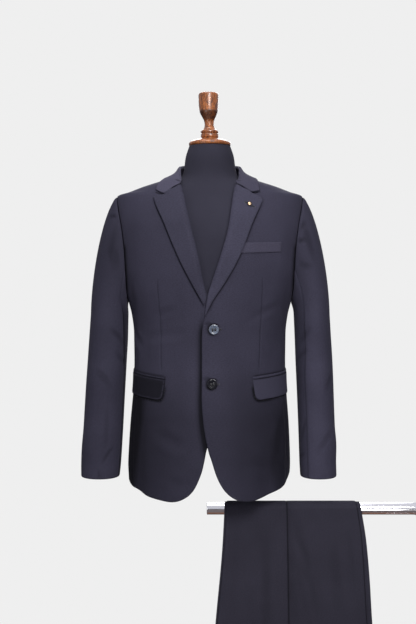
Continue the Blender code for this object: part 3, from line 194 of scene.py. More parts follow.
# pressed and worn-in creases of the body cloth: from angle, height, to angle, height, bow, half width, depth (mm)
BODY_CREASES = [
    (-21, 1.147, -40, 1.124, -0.003, 7, -1.6), (-10, 1.092, -60, 1.075, -0.004, 9, -1.3),
    (22, 1.112, 58, 1.158, 0.005, 8, -1.4), (-58, 1.062, -76, 1.098, 0.005, 9, -2.0),
    (-10, 0.838, -38, 0.873, 0.004, 12, -2.2), (-10, 0.765, -25, 0.752, 0.003, 12, -1.7),
    (14, 0.890, 40, 0.850, -0.006, 16, -1.2), (24, 0.802, 41, 0.781, 0.004, 12, -1.9),
    (60, 0.812, 66, 0.764, 0.003, 5, -1.4), (58, 0.900, 50, 0.800, 0.006, 10, -2.2),
    (26, 1.090, 66, 1.066, 0.006, 10, -0.7), (-60, 1.230, -74, 1.120, 0.004, 10, -1.3),
    (60, 1.215, 73, 1.125, -0.004, 11, -1.2), (-70, 0.985, -64, 0.800, 0.006, 11, -1.2),
    (72, 0.940, 66, 0.765, -0.003, 9, -1.5), (56, 0.930, 54, 0.790, 0.004, 14, -1.0),
    (-34, 0.930, -42, 0.780, 0.005, 16, -0.8), (118, 1.290, 140, 1.200, 0.010, 12, -1.6),
    (-118, 1.280, -142, 1.190, -0.008, 13, -1.5), (-128, 1.120, -168, 1.090, 0.008, 10, -1.4),
    (124, 1.110, 170, 1.070, -0.006, 11, -1.3), (-140, 1.075, -172, 1.035, 0.006, 9, -1.1),
    (135, 1.060, 168, 1.020, 0.005, 10, -1.0), (126, 0.960, 122, 0.800, 0.006, 13, -1.3),
    (-124, 0.950, -120, 0.790, -0.006, 12, -1.4), (168, 1.425, 150, 1.350, 0.004, 12, -0.9),
    (-166, 1.428, -146, 1.345, -0.005, 12, -1.0),
]
# sleeve creases: side, from turn, height, to turn, height, bow (degrees), half width (degrees), depth (mm)
SLEEVE_CREASES = [
    (-1, 28, 1.3585, 52, 1.3555, 3, 3.2, -1.9), (-1, 54, 1.3475, 68, 1.3405, 2, 3.0, -1.9),
    (-1, 58, 1.290, 92, 1.230, 6, 20, -0.6), (-1, 101, 0.925, 99, 0.815, 3, 8, -0.7),
    (-1, 95, 0.794, 132, 0.832, 4, 5, -1.4), (-1, 88, 0.784, 91, 0.758, 0, 4, -0.9),
    (1, 44, 1.348, 80, 1.304, 7, 5, -1.9), (1, 62, 1.306, 88, 1.293, 3, 4.5, -1.8),
    (1, 74, 1.236, 100, 1.248, 4, 15, -1.2), (1, 134, 0.816, 170, 0.798, 3, 5, -1.6),
    (1, 130, 0.900, 160, 0.840, -3, 7, -1.2), (-1, 95, 1.100, 150, 1.062, 5, 8, -1.3),
    (-1, 120, 1.050, 168, 1.020, -4, 9, -1.0), (-1, 60, 1.010, 110, 0.960, 6, 12, -0.8),
    (1, 62, 1.305, 112, 1.286, 8, 7, -1.3), (1, 15, 1.010, 70, 0.950, 7, 12, -1.0),
    (1, 100, 1.110, 152, 1.070, -5, 9, -1.2), (1, 112, 1.055, 165, 1.018, 5, 8, -1.2),
    (1, 40, 0.870, 96, 0.815, 5, 10, -1.1), (-1, 205, 1.110, 262, 1.080, 6, 9, -1.5),
    (1, 208, 1.120, 258, 1.084, -6, 9, -1.4), (-1, 210, 1.060, 255, 1.035, -5, 8, -1.2),
    (1, 205, 1.066, 250, 1.036, 5, 9, -1.3), (-1, 250, 1.330, 320, 1.370, 8, 8, -1.0),
    (1, 248, 1.335, 318, 1.372, -8, 8, -1.0), (-1, 280, 0.930, 330, 0.880, 6, 11, -1.1),
    (1, 285, 0.925, 335, 0.872, -5, 11, -1.1),
]
# trouser creases: front or back half, from x, distance, to x, distance, bow, half width, depth (mm)
TROUSER_CREASES = [
    (True, 0.186, 0.105, 0.212, 0.170, -0.004, 0.010, 1.9), (True, 0.212, 0.170, 0.226, 0.300, 0.003, 0.012, 1.6),
    (True, 0.090, 0.055, 0.082, 0.270, 0.004, 0.013, 0.8), (True, 0.128, 0.080, 0.126, 0.330, -0.003, 0.012, -1.4),
    (True, 0.196, 0.030, 0.236, 0.240, 0.002, 0.011, -1.0), (True, 0.318, 0.070, 0.332, 0.210, 0.002, 0.009, -1.0),
    (True, 0.285, 0.080, 0.305, 0.290, 0.005, 0.016, -0.9), (False, 0.120, 0.090, 0.112, 0.350, 0.004, 0.014, 0.9),
    (False, 0.240, 0.130, 0.225, 0.400, -0.004, 0.013, 1.1),
]
# studio colours; the air's brightness from one height to another, and the tent's stops from below to above
FLOOR, FLOOR_BOUNCE, BACKDROP = (0.80, 0.80, 0.80), (0.16, 0.13, 0.13), (0.863, 0.863, 0.863)
AIR = (0.02, 0.60, 0.02, 0.22)
TENT = ((0.40, (0.26, 0.17, 0.16)), (0.445, (0.10, 0.05, 0.05)), (0.475, (0.55, 0.56, 0.62)),
        (0.60, (0.60, 0.60, 0.64)))


# ---------------------------------------------------------------- curves and fitted surfaces
def hermite(s):
    """Weights of start, start slope, end and end slope at s, 0 to 1."""
    return 2 * s**3 - 3 * s * s + 1, s**3 - 2 * s * s + s, 3 * s * s - 2 * s**3, s**3 - s * s


def smooth(t, y):
    """Monotone cubic through (t, y)."""
    t, y = np.asarray(t, float), np.asarray(y, float)
    h = np.diff(t)
    d = np.diff(y) / h
    m = np.zeros(len(t))
    for i in range(1, len(t) - 1):
        if d[i - 1] * d[i] > 0:
            w1, w2 = 2 * h[i] + h[i - 1], h[i] + 2 * h[i - 1]
            m[i] = (w1 + w2) / (w1 / d[i - 1] + w2 / d[i])
    m[0], m[-1] = d[0], d[-1]

    def at(x):
        x = np.clip(x, t[0], t[-1])
        i = np.clip(np.searchsorted(t, x, "right") - 1, 0, len(t) - 2)
        start, leave, end, arrive = hermite((x - t[i]) / h[i])
        return start * y[i] + leave * h[i] * m[i] + end * y[i + 1] + arrive * h[i] * m[i + 1]
    return at


def power(value, p):
    return np.sign(value) * np.abs(value) ** p


def bump(x, centre, width):
    """One smooth hump of height 1, `width` each side of its centre."""
    t = (np.asarray(x, float) - centre) / width
    return np.where(np.abs(t) < 1, (1 - np.minimum(t * t, 1)) ** 2, 0.0)


def ramp(x, low, high):
    return np.clip((np.asarray(x, float) - low) / (high - low), 0, 1)


def unit(a):
    return a / np.maximum(np.linalg.norm(a, axis=-1, keepdims=True), 1e-12)


class Rings:
    """Level sections stacked into a surface; v runs up it by distance, phi runs round it from the front."""

    def __init__(self, rows):
        table = np.array(rows)
        stack = np.concatenate([[0], np.cumsum(np.hypot(np.diff(table[:, 0]), np.diff(table[:, 1])))])
        self.top = stack[-1]
        self.fine = np.linspace(0, self.top, 4000)
        self.cols = [smooth(stack, table[:, k])(self.fine) for k in range(5)]

    def at(self, v):
        return [np.interp(v, self.fine, c) for c in self.cols]

    def z(self, v):
        return np.interp(v, self.fine, self.cols[0])

    def v_of(self, z):
        return np.interp(z, self.cols[0], self.fine)

    def plain(self, phi, v):
        z, a, f, b, n = self.at(v)
        s, c = np.sin(np.radians(phi)), np.cos(np.radians(phi))
        x = a * power(s, 2 / n)
        y = -np.where(c > 0, f, b) * power(c, 2 / n)
        return np.stack(np.broadcast_arrays(x, y, z), axis=-1)

    def normal(self, phi, v):
        round_it = self.plain(phi + 0.4, v) - self.plain(phi - 0.4, v)
        up = self.plain(phi, np.minimum(v + 0.0015, self.top)) - self.plain(phi, np.maximum(v - 0.0015, 0))
        return unit(np.cross(round_it, up))

    def phi_of(self, x, z):
        _, a, _, _, n = self.at(self.v_of(z))
        r = np.minimum(np.abs(x) / a, 1.0)
        return np.copysign(np.degrees(np.arcsin(r ** (n / 2))), x)

    def phi_after(self, phi, z, distance):
        """Angle reached from phi by walking this far round the level z."""
        v, step = self.v_of(z), math.copysign(0.25, distance)
        left, here = abs(distance), self.plain(phi, v)
        while True:
            there = self.plain(phi + step, v)
            gone = float(np.linalg.norm(there - here))
            if gone >= left:
                return phi + step * left / gone
            left, here, phi = left - gone, there, phi + step


body = Rings(BODY)
form = Rings(FORM)


def near_line(points, line):
    """Distance from each plan point to a broken line, and how far along it the nearest place is, 0 to 1."""
    line = np.asarray(line, float)
    a, ab = line[:-1], np.diff(line, axis=0)
    lengths = np.linalg.norm(ab, axis=1)
    start = np.concatenate([[0], np.cumsum(lengths)])
    best, along = np.full(len(points), 9.0), np.zeros(len(points))
    for i in range(len(a)):
        t = np.clip(((points - a[i]) @ ab[i]) / max(lengths[i] ** 2, 1e-18), 0, 1)
        d = np.linalg.norm(points - a[i] - t[:, None] * ab[i], axis=1)
        nearer = d < best
        best = np.where(nearer, d, best)
        along = np.where(nearer, (start[i] + t * lengths[i]) / start[-1], along)
    return best, along


def bowed(x0, y0, x1, y1, bow):
    """A shallow curve from one place to another, standing off its chord by `bow`."""
    t = np.linspace(0, 1, 15)
    a, b = np.array([x0, y0]), np.array([x1, y1])
    across = np.array([a[1] - b[1], b[0] - a[0]])
    across = across / max(np.linalg.norm(across), 1e-9)
    return a + (b - a) * t[:, None] + across * (bow * 4 * t * (1 - t))[:, None]


def crease(points, line, half_width, depth):
    """A soft trough or ridge along a line, deepest in its middle, with low shoulders beside it."""
    d, along = near_line(points, line)
    fade = np.sin(np.pi * np.clip(along, 0, 1)) ** 0.8
    q = d / half_width
    return depth * fade * (np.exp(-q * q) - 0.45 * np.exp(-((q - 1.9) / 0.9) ** 2))


def body_fold(phi, v):
    """How far the jacket's cloth stands out of, or sinks into, the fitted surface."""
    z = body.z(v)
    hem = ramp(0.95 - z, 0, 0.16)
    out = 0.0045 * hem * bump(phi, 57, 15) - 0.0030 * hem * bump(phi, 40, 14)
    out += 0.0040 * hem * bump(phi, -78, 16) - 0.0030 * hem * bump(phi, -58, 13)
    out += 0.0045 * hem * (bump(np.abs(phi), 142, 16) - 0.6 * bump(np.abs(phi), 122, 12))
    waist = bump(z, 1.055, 0.09)
    out += 0.0022 * waist * (bump(np.abs(phi), 78, 18) - bump(np.abs(phi), 52, 16))
    out += 0.0030 * bump(z, 1.03, 0.05) * bump(np.abs(phi), 158, 30)
    shape = np.shape(out)
    spots = np.stack([np.radians(np.broadcast_to(phi, shape)).ravel() * ROUND, np.broadcast_to(v, shape).ravel()], 1)
    extra = np.zeros(len(spots))
    for p0, z0, p1, z1, bow, wide, deep in BODY_CREASES:
        extra += crease(spots, bowed(*plan(p0, z0), *plan(p1, z1), bow), wide / 1000, deep / 1000)
    return out + extra.reshape(shape)


def on_body(phi, v, lift=0.0):
    phi, v = np.asarray(phi, float), np.asarray(v, float)
    return body.plain(phi, v) + body.normal(phi, v) * (lift + body_fold(phi, v))[..., None]


def plan(phi, z):
    return (math.radians(phi) * ROUND, float(body.v_of(z)))


def plan_xz(points):
    return [plan(float(body.phi_of(x / 1000, z / 1000)), z / 1000) for x, z in points]


def through(points, step):
    """Smooth curve through plan points, with a point about every `step`, both ends kept."""
    pts = [Vector((p[0], p[1], 0)) for p in points]
    if len(pts) == 2:
        fine = [pts[0].lerp(pts[1], k / 40) for k in range(41)]
    else:
        d = np.concatenate([[0], np.cumsum([(b - a).length for a, b in zip(pts, pts[1:])])])
        fine = []
        for i in range(len(pts) - 1):
            p0 = pts[i - 1] if i else pts[0] * 2 - pts[1]
            p3 = pts[i + 2] if i + 2 < len(pts) else pts[-1] * 2 - pts[-2]
            p1, p2 = pts[i], pts[i + 1]
            h = d[i + 1] - d[i]
            m1 = (p2 - p0) / (h + (p1 - p0).length) * h
            m2 = (p3 - p1) / (h + (p3 - p2).length) * h
            for k in range(20):
                start, leave, end, arrive = hermite(k / 20)
                fine.append(p1 * start + m1 * leave + p2 * end + m2 * arrive)
        fine.append(pts[-1])
    flat = np.array([(p.x, p.y) for p in fine])
    d = np.concatenate([[0], np.cumsum(np.linalg.norm(np.diff(flat, axis=0), axis=1))])
    q = np.linspace(0, d[-1], max(1, round(d[-1] / step)) + 1)
    out = list(zip(np.interp(q, d, flat[:, 0]), np.interp(q, d, flat[:, 1])))
    out[0], out[-1] = tuple(points[0][:2]), tuple(points[-1][:2])
    return out


def outline(*sides, step):
    """Closed outline from sides that follow each other end to end; a side is (points, kept as they are?)."""
    ring = []
    for points, kept in sides:
        ring += (list(points) if kept else through(points, step))[:-1]
    return ring


def bent(a, here, b, count):
    """Points round a corner at `here`, from a to b."""
    a, here, b = Vector(a), Vector(here), Vector(b)
    return [tuple(a.lerp(here, s).lerp(here.lerp(b, s), s)) for s in np.linspace(0, 1, count)]


def rounded(points, radii, step):
    """Outline through corner points, each corner rounded by its radius."""
    ring, count = [], len(points)
    for i, radius in enumerate(radii):
        before, here, after = (Vector(points[k % count]) for k in (i - 1, i, i + 1))
        if radius:
            a, b = (here + (other - here).normalized() * radius for other in (before, after))
            ring.append(bent(a, here, b, 5))
        else:
            ring.append([tuple(here)])
    out = []
    for i, corner in enumerate(ring):
        out += corner
        out += through([corner[-1], ring[(i + 1) % count][0]], step)[1:-1]
    return out


# ---------------------------------------------------------------- cloth, threads, wood, horn and metal
class Look:
    """A finish being mixed: its shader, with short ways of adding nodes and joining them to it."""

    def __init__(self, name, colour, roughness, finish=None):
        self.made = bpy.data.materials.new(name)
        self.made.use_nodes = True
        self.made.diffuse_color = (*colour, 1)
        self.tree = self.made.node_tree
        self.shader = self.tree.nodes["Principled BSDF"]
        for socket, value in {"Base Color": (*colour, 1), "Roughness": roughness, **(finish or {})}.items():
            self.shader.inputs[socket].default_value = value

    def node(self, kind, fed=(), **settings):
        """A new node: settings fill its sockets or fields, fed joins other nodes' outputs to its sockets."""
        made = self.tree.nodes.new(kind)
        for key, value in settings.items():
            if key in made.inputs:
                made.inputs[key].default_value = value
            else:
                setattr(made, key, value)
        for socket, output in fed:
            self.tree.links.new(output, made.inputs[socket])
        return made

    def join(self, output, socket):
        self.tree.links.new(output, self.shader.inputs[socket])

    def place(self, scale=None, rotation=(0.0, 0.0, 0.0)):
        """Object coordinates, stretched where a scale is given."""
        where = self.node("ShaderNodeTexCoord").outputs["Object"]
        return self.stretched(where, scale, rotation) if scale else where

    def stretched(self, where, scale, rotation=(0.0, 0.0, 0.0)):
        return self.node("ShaderNodeMapping", [("Vector", where)], Scale=scale, Rotation=rotation).outputs[0]

    def noise(self, where, scale, detail, roughness=0.5, distortion=0.0):
        return self.node("ShaderNodeTexNoise", [("Vector", where)], Scale=scale, Detail=detail, Roughness=roughness,
                         Distortion=distortion).outputs["Fac"]

    def attribute(self, name):
        return self.node("ShaderNodeAttribute", attribute_name=name).outputs["Fac"]

    def maths(self, kind, *values):
        """A sum of numbers and other nodes' outputs."""
        made = self.node("ShaderNodeMath", operation=kind)
        for socket, value in zip(made.inputs, values):
            if isinstance(value, (int, float)):
                socket.default_value = value
            else:
                self.tree.links.new(value, socket)
        return made.outputs[0]

    def ranged(self, value, low, high, to_low=0.0, to_high=1.0):
        limits = {"From Min": low, "From Max": high, "To Min": to_low, "To Max": to_high}
        return self.node("ShaderNodeMapRange", [("Value", value)], clamp=True, **limits).outputs[0]

    def mixed(self, factor, a, b):
        """Colour between a and b by factor, each a colour or another node's output."""
        made = self.node("ShaderNodeMix", [("Factor", factor)], data_type="RGBA")
        for place, value in ((6, a), (7, b)):
            if isinstance(value, tuple):
                made.inputs[place].default_value = (*value, 1)
            else:
                self.tree.links.new(value, made.inputs[place])
        return made.outputs[2]

    def relief(self, height, strength, distance):
        self.join(self.node("ShaderNodeBump", [("Height", height)], Strength=strength, Distance=distance).outputs[0],
                  "Normal")


def shade_of(colour, share):
    return tuple(c * share for c in colour)


def worsted(name, dark, light):
    """Fine 2/2 twill in worsted yarn: slanting ribs, slubs along both yarns, a soft cloud of shade, fine fuzz."""
    twill, rough = 1350.0 * math.pi, 0.80
    look = Look(name, light, rough, {"Sheen Weight": 0.03, "Sheen Roughness": 0.45,
                                     "Sheen Tint": (0.62, 0.62, 0.78, 1), "Specular IOR Level": 0.08})
    maths = look.maths
    weave = look.node("ShaderNodeUVMap", uv_map="weave").outputs["UV"]
    u, v = look.node("ShaderNodeSeparateXYZ", [(0, weave)]).outputs[:2]
    slant = maths("SINE", maths("MULTIPLY", maths("ADD", maths("MULTIPLY", u, 1.9), v), twill))
    warp = maths("SINE", maths("MULTIPLY", u, 2.2 * twill))
    rib = maths("ADD", maths("ADD", maths("MULTIPLY", slant, 0.36), maths("MULTIPLY", warp, 0.14)), 0.5)
    slub = look.noise(look.stretched(weave, (330.0, 560.0, 1.0)), 1.0, 2.0, 0.6)
    cloud = look.noise(look.place(), 11.0, 3.0, 0.55)
    tone = maths("ADD", maths("MULTIPLY", rib, 0.30), maths("MULTIPLY", slub, 1.10))
    tone = maths("ADD", tone, maths("MULTIPLY", cloud, 0.50))
    colour = look.mixed(look.ranged(tone, 0.68, 1.28), dark, light)
    # painted shade: the per-point shade attribute mixes the colour towards a deep shade of the dark tone
    look.join(look.mixed(look.attribute("painted_shade"), colour, shade_of(dark, 0.16)), "Base Color")
    look.join(look.ranged(slub, 0.0, 1.0, rough - 0.05, rough + 0.08), "Roughness")
    look.relief(maths("ADD", rib, maths("MULTIPLY", slub, 0.7)), 0.55, 0.00012)
    return look.made


def jersey(name, dark, light):
    """Stretched knit over the form: fine upright wales crossed by courses."""
    look = Look(name, light, 0.86, {"Sheen Weight": 0.04, "Sheen Tint": (0.65, 0.65, 0.78, 1),
                                    "Specular IOR Level": 0.08})
    wales = look.place((1.0, 1.0, 1.6))
    loops = look.node("ShaderNodeTexVoronoi", [("Vector", wales)], Scale=900.0).outputs["Distance"]
    cloud = look.noise(look.place(), 9.0, 3.0)
    look.join(look.mixed(look.maths("MULTIPLY_ADD", loops, 0.5, cloud), dark, light), "Base Color")
    look.relief(loops, 0.4, 0.0002)
    return look.made


def thread(name, colour):
    look = Look(name, colour, 0.62, {"Sheen Weight": 0.25})
    twist = look.noise(look.place(), 1400.0, 1.0)
    look.join(look.mixed(twist, shade_of(colour, 0.7), shade_of(colour, 1.3)), "Base Color")
    return look.made


def horn(name, dark, light, coat):
    """Polished resin horn: cloudy streaks under a clear, glossy face with faint turning marks."""
    look = Look(name, dark, 0.24, {"Coat Weight": coat, "Coat Roughness": 0.15, "Specular IOR Level": coat * 2})
    streak = look.noise(look.place((1.0, 1.0, 3.4), (0.0, 0.5, 0.0)), 85.0, 4.0, 0.6)
    look.join(look.mixed(streak, dark, light), "Base Color")
    look.join(look.ranged(look.noise(look.place(), 900.0, 2.0), 0.0, 1.0, 0.16, 0.34), "Roughness")
    return look.made


def stained_wood(name, dark, light, grain, coat, gloss):
    """Stained hardwood: long figure, fine pores, satin varnish; painted darker where the mesh carries painted shade."""
    look = Look(name, light, 0.38, {"Coat Weight": coat, "Coat Roughness": gloss})
    along = look.place(grain)
    figure, pores = look.noise(along, 1.0, 6.0, 0.62, 1.1), look.noise(along, 24.0, 2.0)
    colour = look.mixed(look.ranged(look.maths("MULTIPLY_ADD", pores, 0.35, figure), 0.50, 0.86), dark, light)
    look.join(look.mixed(look.attribute("painted_shade"), colour, shade_of(dark, 0.5)), "Base Color")
    look.relief(pores, 0.25, 0.0003)
    return look.made


def polished_metal(name, colour, low, high, scale):
    """Plated or polished metal with faint handling marks."""
    look = Look(name, colour, (low + high) / 2, {"Metallic": 1.0})
    marks = look.noise(look.place(), scale, 5.0, 0.65)
    look.join(look.ranged(marks, 0.0, 1.0, low, high), "Roughness")
    look.join(look.mixed(marks, shade_of(colour, 0.92), colour), "Base Color")
    return look.made


# One worsted for the whole suit: the sleeve, collar and lapel copies below are painted lighter and the trouser copy
# painted darker, standing in for how the light falls on each part
JACKET_WOOL = worsted("jacket worsted", (0.030, 0.0285, 0.0455), (0.051, 0.0485, 0.0775))
SLEEVE_WOOL_PAINTED_LIGHTER = worsted("sleeve worsted painted lighter", (0.034, 0.0325, 0.052), (0.058, 0.055, 0.0875))
COLLAR_WOOL_PAINTED_LIGHTER = worsted("collar worsted painted lighter", (0.0475, 0.0445, 0.069), (0.081, 0.076, 0.118))
LAPEL_WOOL_PAINTED_LIGHTER = worsted("lapel worsted painted lighter", (0.0355, 0.0342, 0.0540), (0.0610, 0.0582, 0.0920))
TROUSER_WOOL_PAINTED_DARKER = worsted("trouser worsted painted darker", (0.0215, 0.0204, 0.0303), (0.0360, 0.0342, 0.0506))
FORM_JERSEY = jersey("form jersey", (0.017, 0.016, 0.025), (0.033, 0.032, 0.048))
THREAD = thread("navy silk thread", (0.016, 0.016, 0.024))
BUTTON_THREAD = thread("button thread", (0.005, 0.005, 0.009))
# This horn, for the upper button, is the dark horn painted lighter and bluer: a painted sheen
HORN_PAINTED_LIGHTER = horn("horn painted lighter and bluer", (0.050, 0.063, 0.098), (0.135, 0.165, 0.230), 0.25)
HORN_DARK = horn("dark horn", (0.004, 0.004, 0.006), (0.012, 0.012, 0.018), 0.03)
BRASS = polished_metal("polished brass", (0.60, 0.42, 0.26), 0.30, 0.45, 400.0)
CHROME = polished_metal("chrome plate", (0.82, 0.82, 0.85), 0.10, 0.16, 60.0)
WOOD = stained_wood("stained beech", (0.040, 0.009, 0.005), (0.520, 0.165, 0.040), (150.0, 150.0, 60.0), 0.35, 0.10)
BOARD = stained_wood("stained plinth board", (0.13, 0.045, 0.018), (0.34, 0.140, 0.062), (3.0, 24.0, 24.0), 0.2, 0.18)


# ---------------------------------------------------------------- making pieces
def put_in_scene(name, data):
    made = bpy.data.objects.new(name, data)
    bpy.context.scene.collection.objects.link(made)
    return made


def circle(sides):
    """Cosine and sine of each corner of a turned ring."""
    turns = (2 * math.pi * k / sides for k in range(sides))
    return [(math.cos(t), math.sin(t)) for t in turns]


def tube_faces(rings, count):
    """Faces of a closed tube of `rings` rings with `count` points each: its wall, then its two ends."""
    faces = [(i * count + k, i * count + (k + 1) % count, (i + 1) * count + (k + 1) % count, (i + 1) * count + k)
             for i in range(rings - 1) for k in range(count)]
    return faces + [tuple(range(count))[::-1], tuple((rings - 1) * count + k for k in range(count))]


def turned_solid(profile, sides):
    """Rows, points and faces turned from (along, radius) rows; a radius of 0 closes that end to a point."""
    points, rows, faces = [], [], []
    for along, radius in profile:
        ring = [(radius * c, radius * s, along) for c, s in circle(sides)] if radius else [(0, 0, along)]
        rows.append(list(range(len(points), len(points) + len(ring))))
        points += [Vector(p) for p in ring]
    for low, high in zip(rows, rows[1:]):
        for k in range(sides):
            j = (k + 1) % sides
            if len(low) == 1:
                faces.append((low[0], high[j], high[k]))
            elif len(high) == 1:
                faces.append((low[k], low[j], high[0]))
            else:
                faces.append((low[k], low[j], high[j], high[k]))
    for end in (rows[0][::-1], rows[-1]):
        if len(end) > 1:
            faces.append(tuple(end))
    return rows, points, faces


def outward_mesh(name, points, faces, uv=None):
    """A closed mesh with its faces outwards; uv holds each point's place in the weave."""
    mesh = bpy.data.meshes.new(name)
    mesh.from_pydata([tuple(p) for p in points], [], faces)
    work = bmesh.new()
    work.from_mesh(mesh)
    bmesh.ops.recalc_face_normals(work, faces=work.faces)
    if work.calc_volume(signed=True) < 0:
        bmesh.ops.reverse_faces(work, faces=work.faces)
    if uv is not None:
        layer = work.loops.layers.uv.new("weave")
        for face in work.faces:
            for corner in face.loops:
                corner[layer].uv = uv[corner.vert.index]
    work.to_mesh(mesh)
    work.free()
    return mesh


def finished(name, mesh, look, node=None):
    """The mesh as a smooth piece in its finish, riding on the suit, and standing for its solid where it has one."""
    mesh.shade_smooth()
    if not mesh.materials:
        mesh.materials.append(look)
    made = put_in_scene(name, mesh)
    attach(made, "root")
    if node:
        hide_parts(node)
    return made


def piece(name, points, faces, look, node=None, uv=None, painted_shade=None):
    """One closed piece; the painted shade given darkens its colour point by point."""
    mesh = outward_mesh(name, points, faces, uv)
    if painted_shade is not None:
        dark = np.clip(painted_shade, 0, 1).astype(np.float32)
        mesh.attributes.new("painted_shade", "FLOAT", "POINT").data.foreach_set("value", dark)
    return finished(name, mesh, look, node)


def two_faced(outer_dark):
    """Painted shade of a shell's outer points, then its inner ones."""
    return np.concatenate([outer_dark, np.full(len(outer_dark), INSIDE_PAINTED_SHADE)])


def beside(line, offsets, reach=1.0):
    """Copies of a plan line moved sideways by each offset, in units of reach."""
    line = np.array(line)
    side = unit(np.stack([-np.gradient(line[:, 1]), np.gradient(line[:, 0])], 1))
    return [line + side * reach * off for off in offsets]


def height_over(lift, places):
    return lift(places[:, 0], places[:, 1]) if callable(lift) else np.full(len(places), float(lift))


def inside_outline(places, loop):
    """Which plan places lie inside a closed outline."""
    a, b = loop, np.roll(loop, -1, axis=0)
    level = places[:, None, 1]
    hit = (a[None, :, 1] > level) != (b[None, :, 1] > level)
    with np.errstate(divide="ignore", invalid="ignore"):
        cut_x = (b[:, 0] - a[:, 0]) * (level - a[:, 1]) / (b[:, 1] - a[:, 1]) + a[:, 0]
    return (hit & (places[:, None, 0] < cut_x)).sum(axis=1) % 2 == 1


def fill_outline(ring, step, sewn, shadows):
    """Plan points and triangles inside an outline, closer together at its edge, its seams and its shadow lines."""
    loop = np.array(ring)
    along = np.roll(loop, -1, axis=0) - np.roll(loop, 1, axis=0)
    inward = unit(np.stack([-along[:, 1], along[:, 0]], 1))
    fine = [loop + inward * off for off in (0.0009, 0.0022)]
    for line in sewn:
        fine += beside(line, (-0.0024, -0.0011, 0.0, 0.0011, 0.0024))
    for line, reach, _ in shadows:
        fine += beside(through(line, SHADOW_STEP), (-2.0, -1.2, -0.7, -0.3, 0.0, 0.3, 0.7, 1.2, 2.0), reach)
    low, high = loop.min(axis=0), loop.max(axis=0)
    grid = [np.zeros((0, 2))]
    for i, v in enumerate(np.arange(low[1] + step * 0.6, high[1], step * 0.92)):
        us = np.arange(low[0] + step * (0.35 if i % 2 else 0.85), high[0], step)
        grid.append(np.stack([us, np.full(len(us), v)], 1))
    fine, grid = np.concatenate(fine), np.concatenate(grid)
    closed = np.vstack([loop, loop[:1]])
    fine = fine[inside_outline(fine, loop)]
    fine = fine[near_line(fine, closed)[0] > 0.00075]
    grid = grid[inside_outline(grid, loop)]
    grid = grid[near_line(grid, closed)[0] > step * 0.62 + 0.0010]
    for line in sewn:
        grid = grid[near_line(grid, line)[0] > step * 0.55 + 0.0015]
    for line, reach, _ in shadows:
        grid = grid[near_line(grid, line)[0] > reach * 2.0 + step * 0.45]
    flat = [Vector(p) for p in ring] + [Vector(p) for p in np.vstack([fine, grid])]
    got = delaunay_2d_cdt(flat, [], [list(range(len(ring)))], 1, 1e-7, True)
    places = np.array([(p.x, p.y) for p in got[0]])
    triangles = [tuple(f) for f, source in zip(got[2], got[5]) if source]
    spot = {ids[0]: i for i, ids in enumerate(got[3])}
    return places, triangles, [spot[i] for i in range(len(ring))], near_line(places, closed)[0]


def cloth_panel(name, node, ring, look, step=WEAVE_STEP, lift=0.0, thick=CLOTH, sewn=(), roll=0.0006, grain=1.0,
                shadows=(), painted_darkening=None, edge_highlight=0.0):
    """A cloth panel filled inside its outline, laid on the body; its edges roll under and sewn lines sink in.

    It is painted darker by angle and height, painted shadows lie along (line, reach, depth), a painted highlight lies
    just inside the edge, and seams and edges are painted darker.
    """
    ring = [tuple(map(float, p)) for p in ring]
    if sum(p[0] * q[1] - q[0] * p[1] for p, q in zip(ring, ring[1:] + ring[:1])) < 0:
        ring = ring[::-1]
    places, triangles, rim, edge = fill_outline(ring, step, sewn, shadows)
    seam = np.zeros(len(places))
    for line in sewn:
        d, along = near_line(places, line)
        seam += np.exp(-(d / 0.0011) ** 2) * np.minimum(1, np.minimum(along, 1 - along) * 12)
    phi, v = np.degrees(places[:, 0] / ROUND), places[:, 1]
    # painted shade: seams and edges darker, then the broad painted darkening and the painted shadows
    dark = 0.38 * np.minimum(seam, 1) + 0.24 * np.exp(-(edge / 0.0009) ** 2)
    # painted highlight: a lighter line just inside the edge
    dark -= edge_highlight * np.exp(-((edge - 0.0022) / 0.0010) ** 2)
    if painted_darkening:
        dark += painted_darkening(phi, body.z(v)) if callable(painted_darkening) else painted_darkening
    for line, reach, depth in shadows:
        d, along = near_line(places, np.array(through(line, SHADOW_STEP)))
        dark += depth * np.exp(-(d / reach) ** 2) * np.minimum(1, np.minimum(along, 1 - along) * 9 + 0.15)
    high, under_edge = height_over(lift, places), np.exp(-(edge / EDGE_ROLL) ** 2)
    outer = on_body(phi, v, high - roll * under_edge - 0.0009 * np.minimum(seam, 1))
    inner = on_body(phi, v, high - thick + 0.0003 * under_edge)
    count = len(places)
    faces = triangles + [tuple(i + count for i in reversed(f)) for f in triangles]
    faces += [(p, p + count, q + count, q) for p, q in zip(rim, rim[1:] + rim[:1])]
    uv = places * np.array([grain, 1.0])
    made = piece(name, np.vstack([outer, inner]), faces, look, uv=np.vstack([uv, uv]),
                 painted_shade=two_faced(dark))
    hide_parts(node)


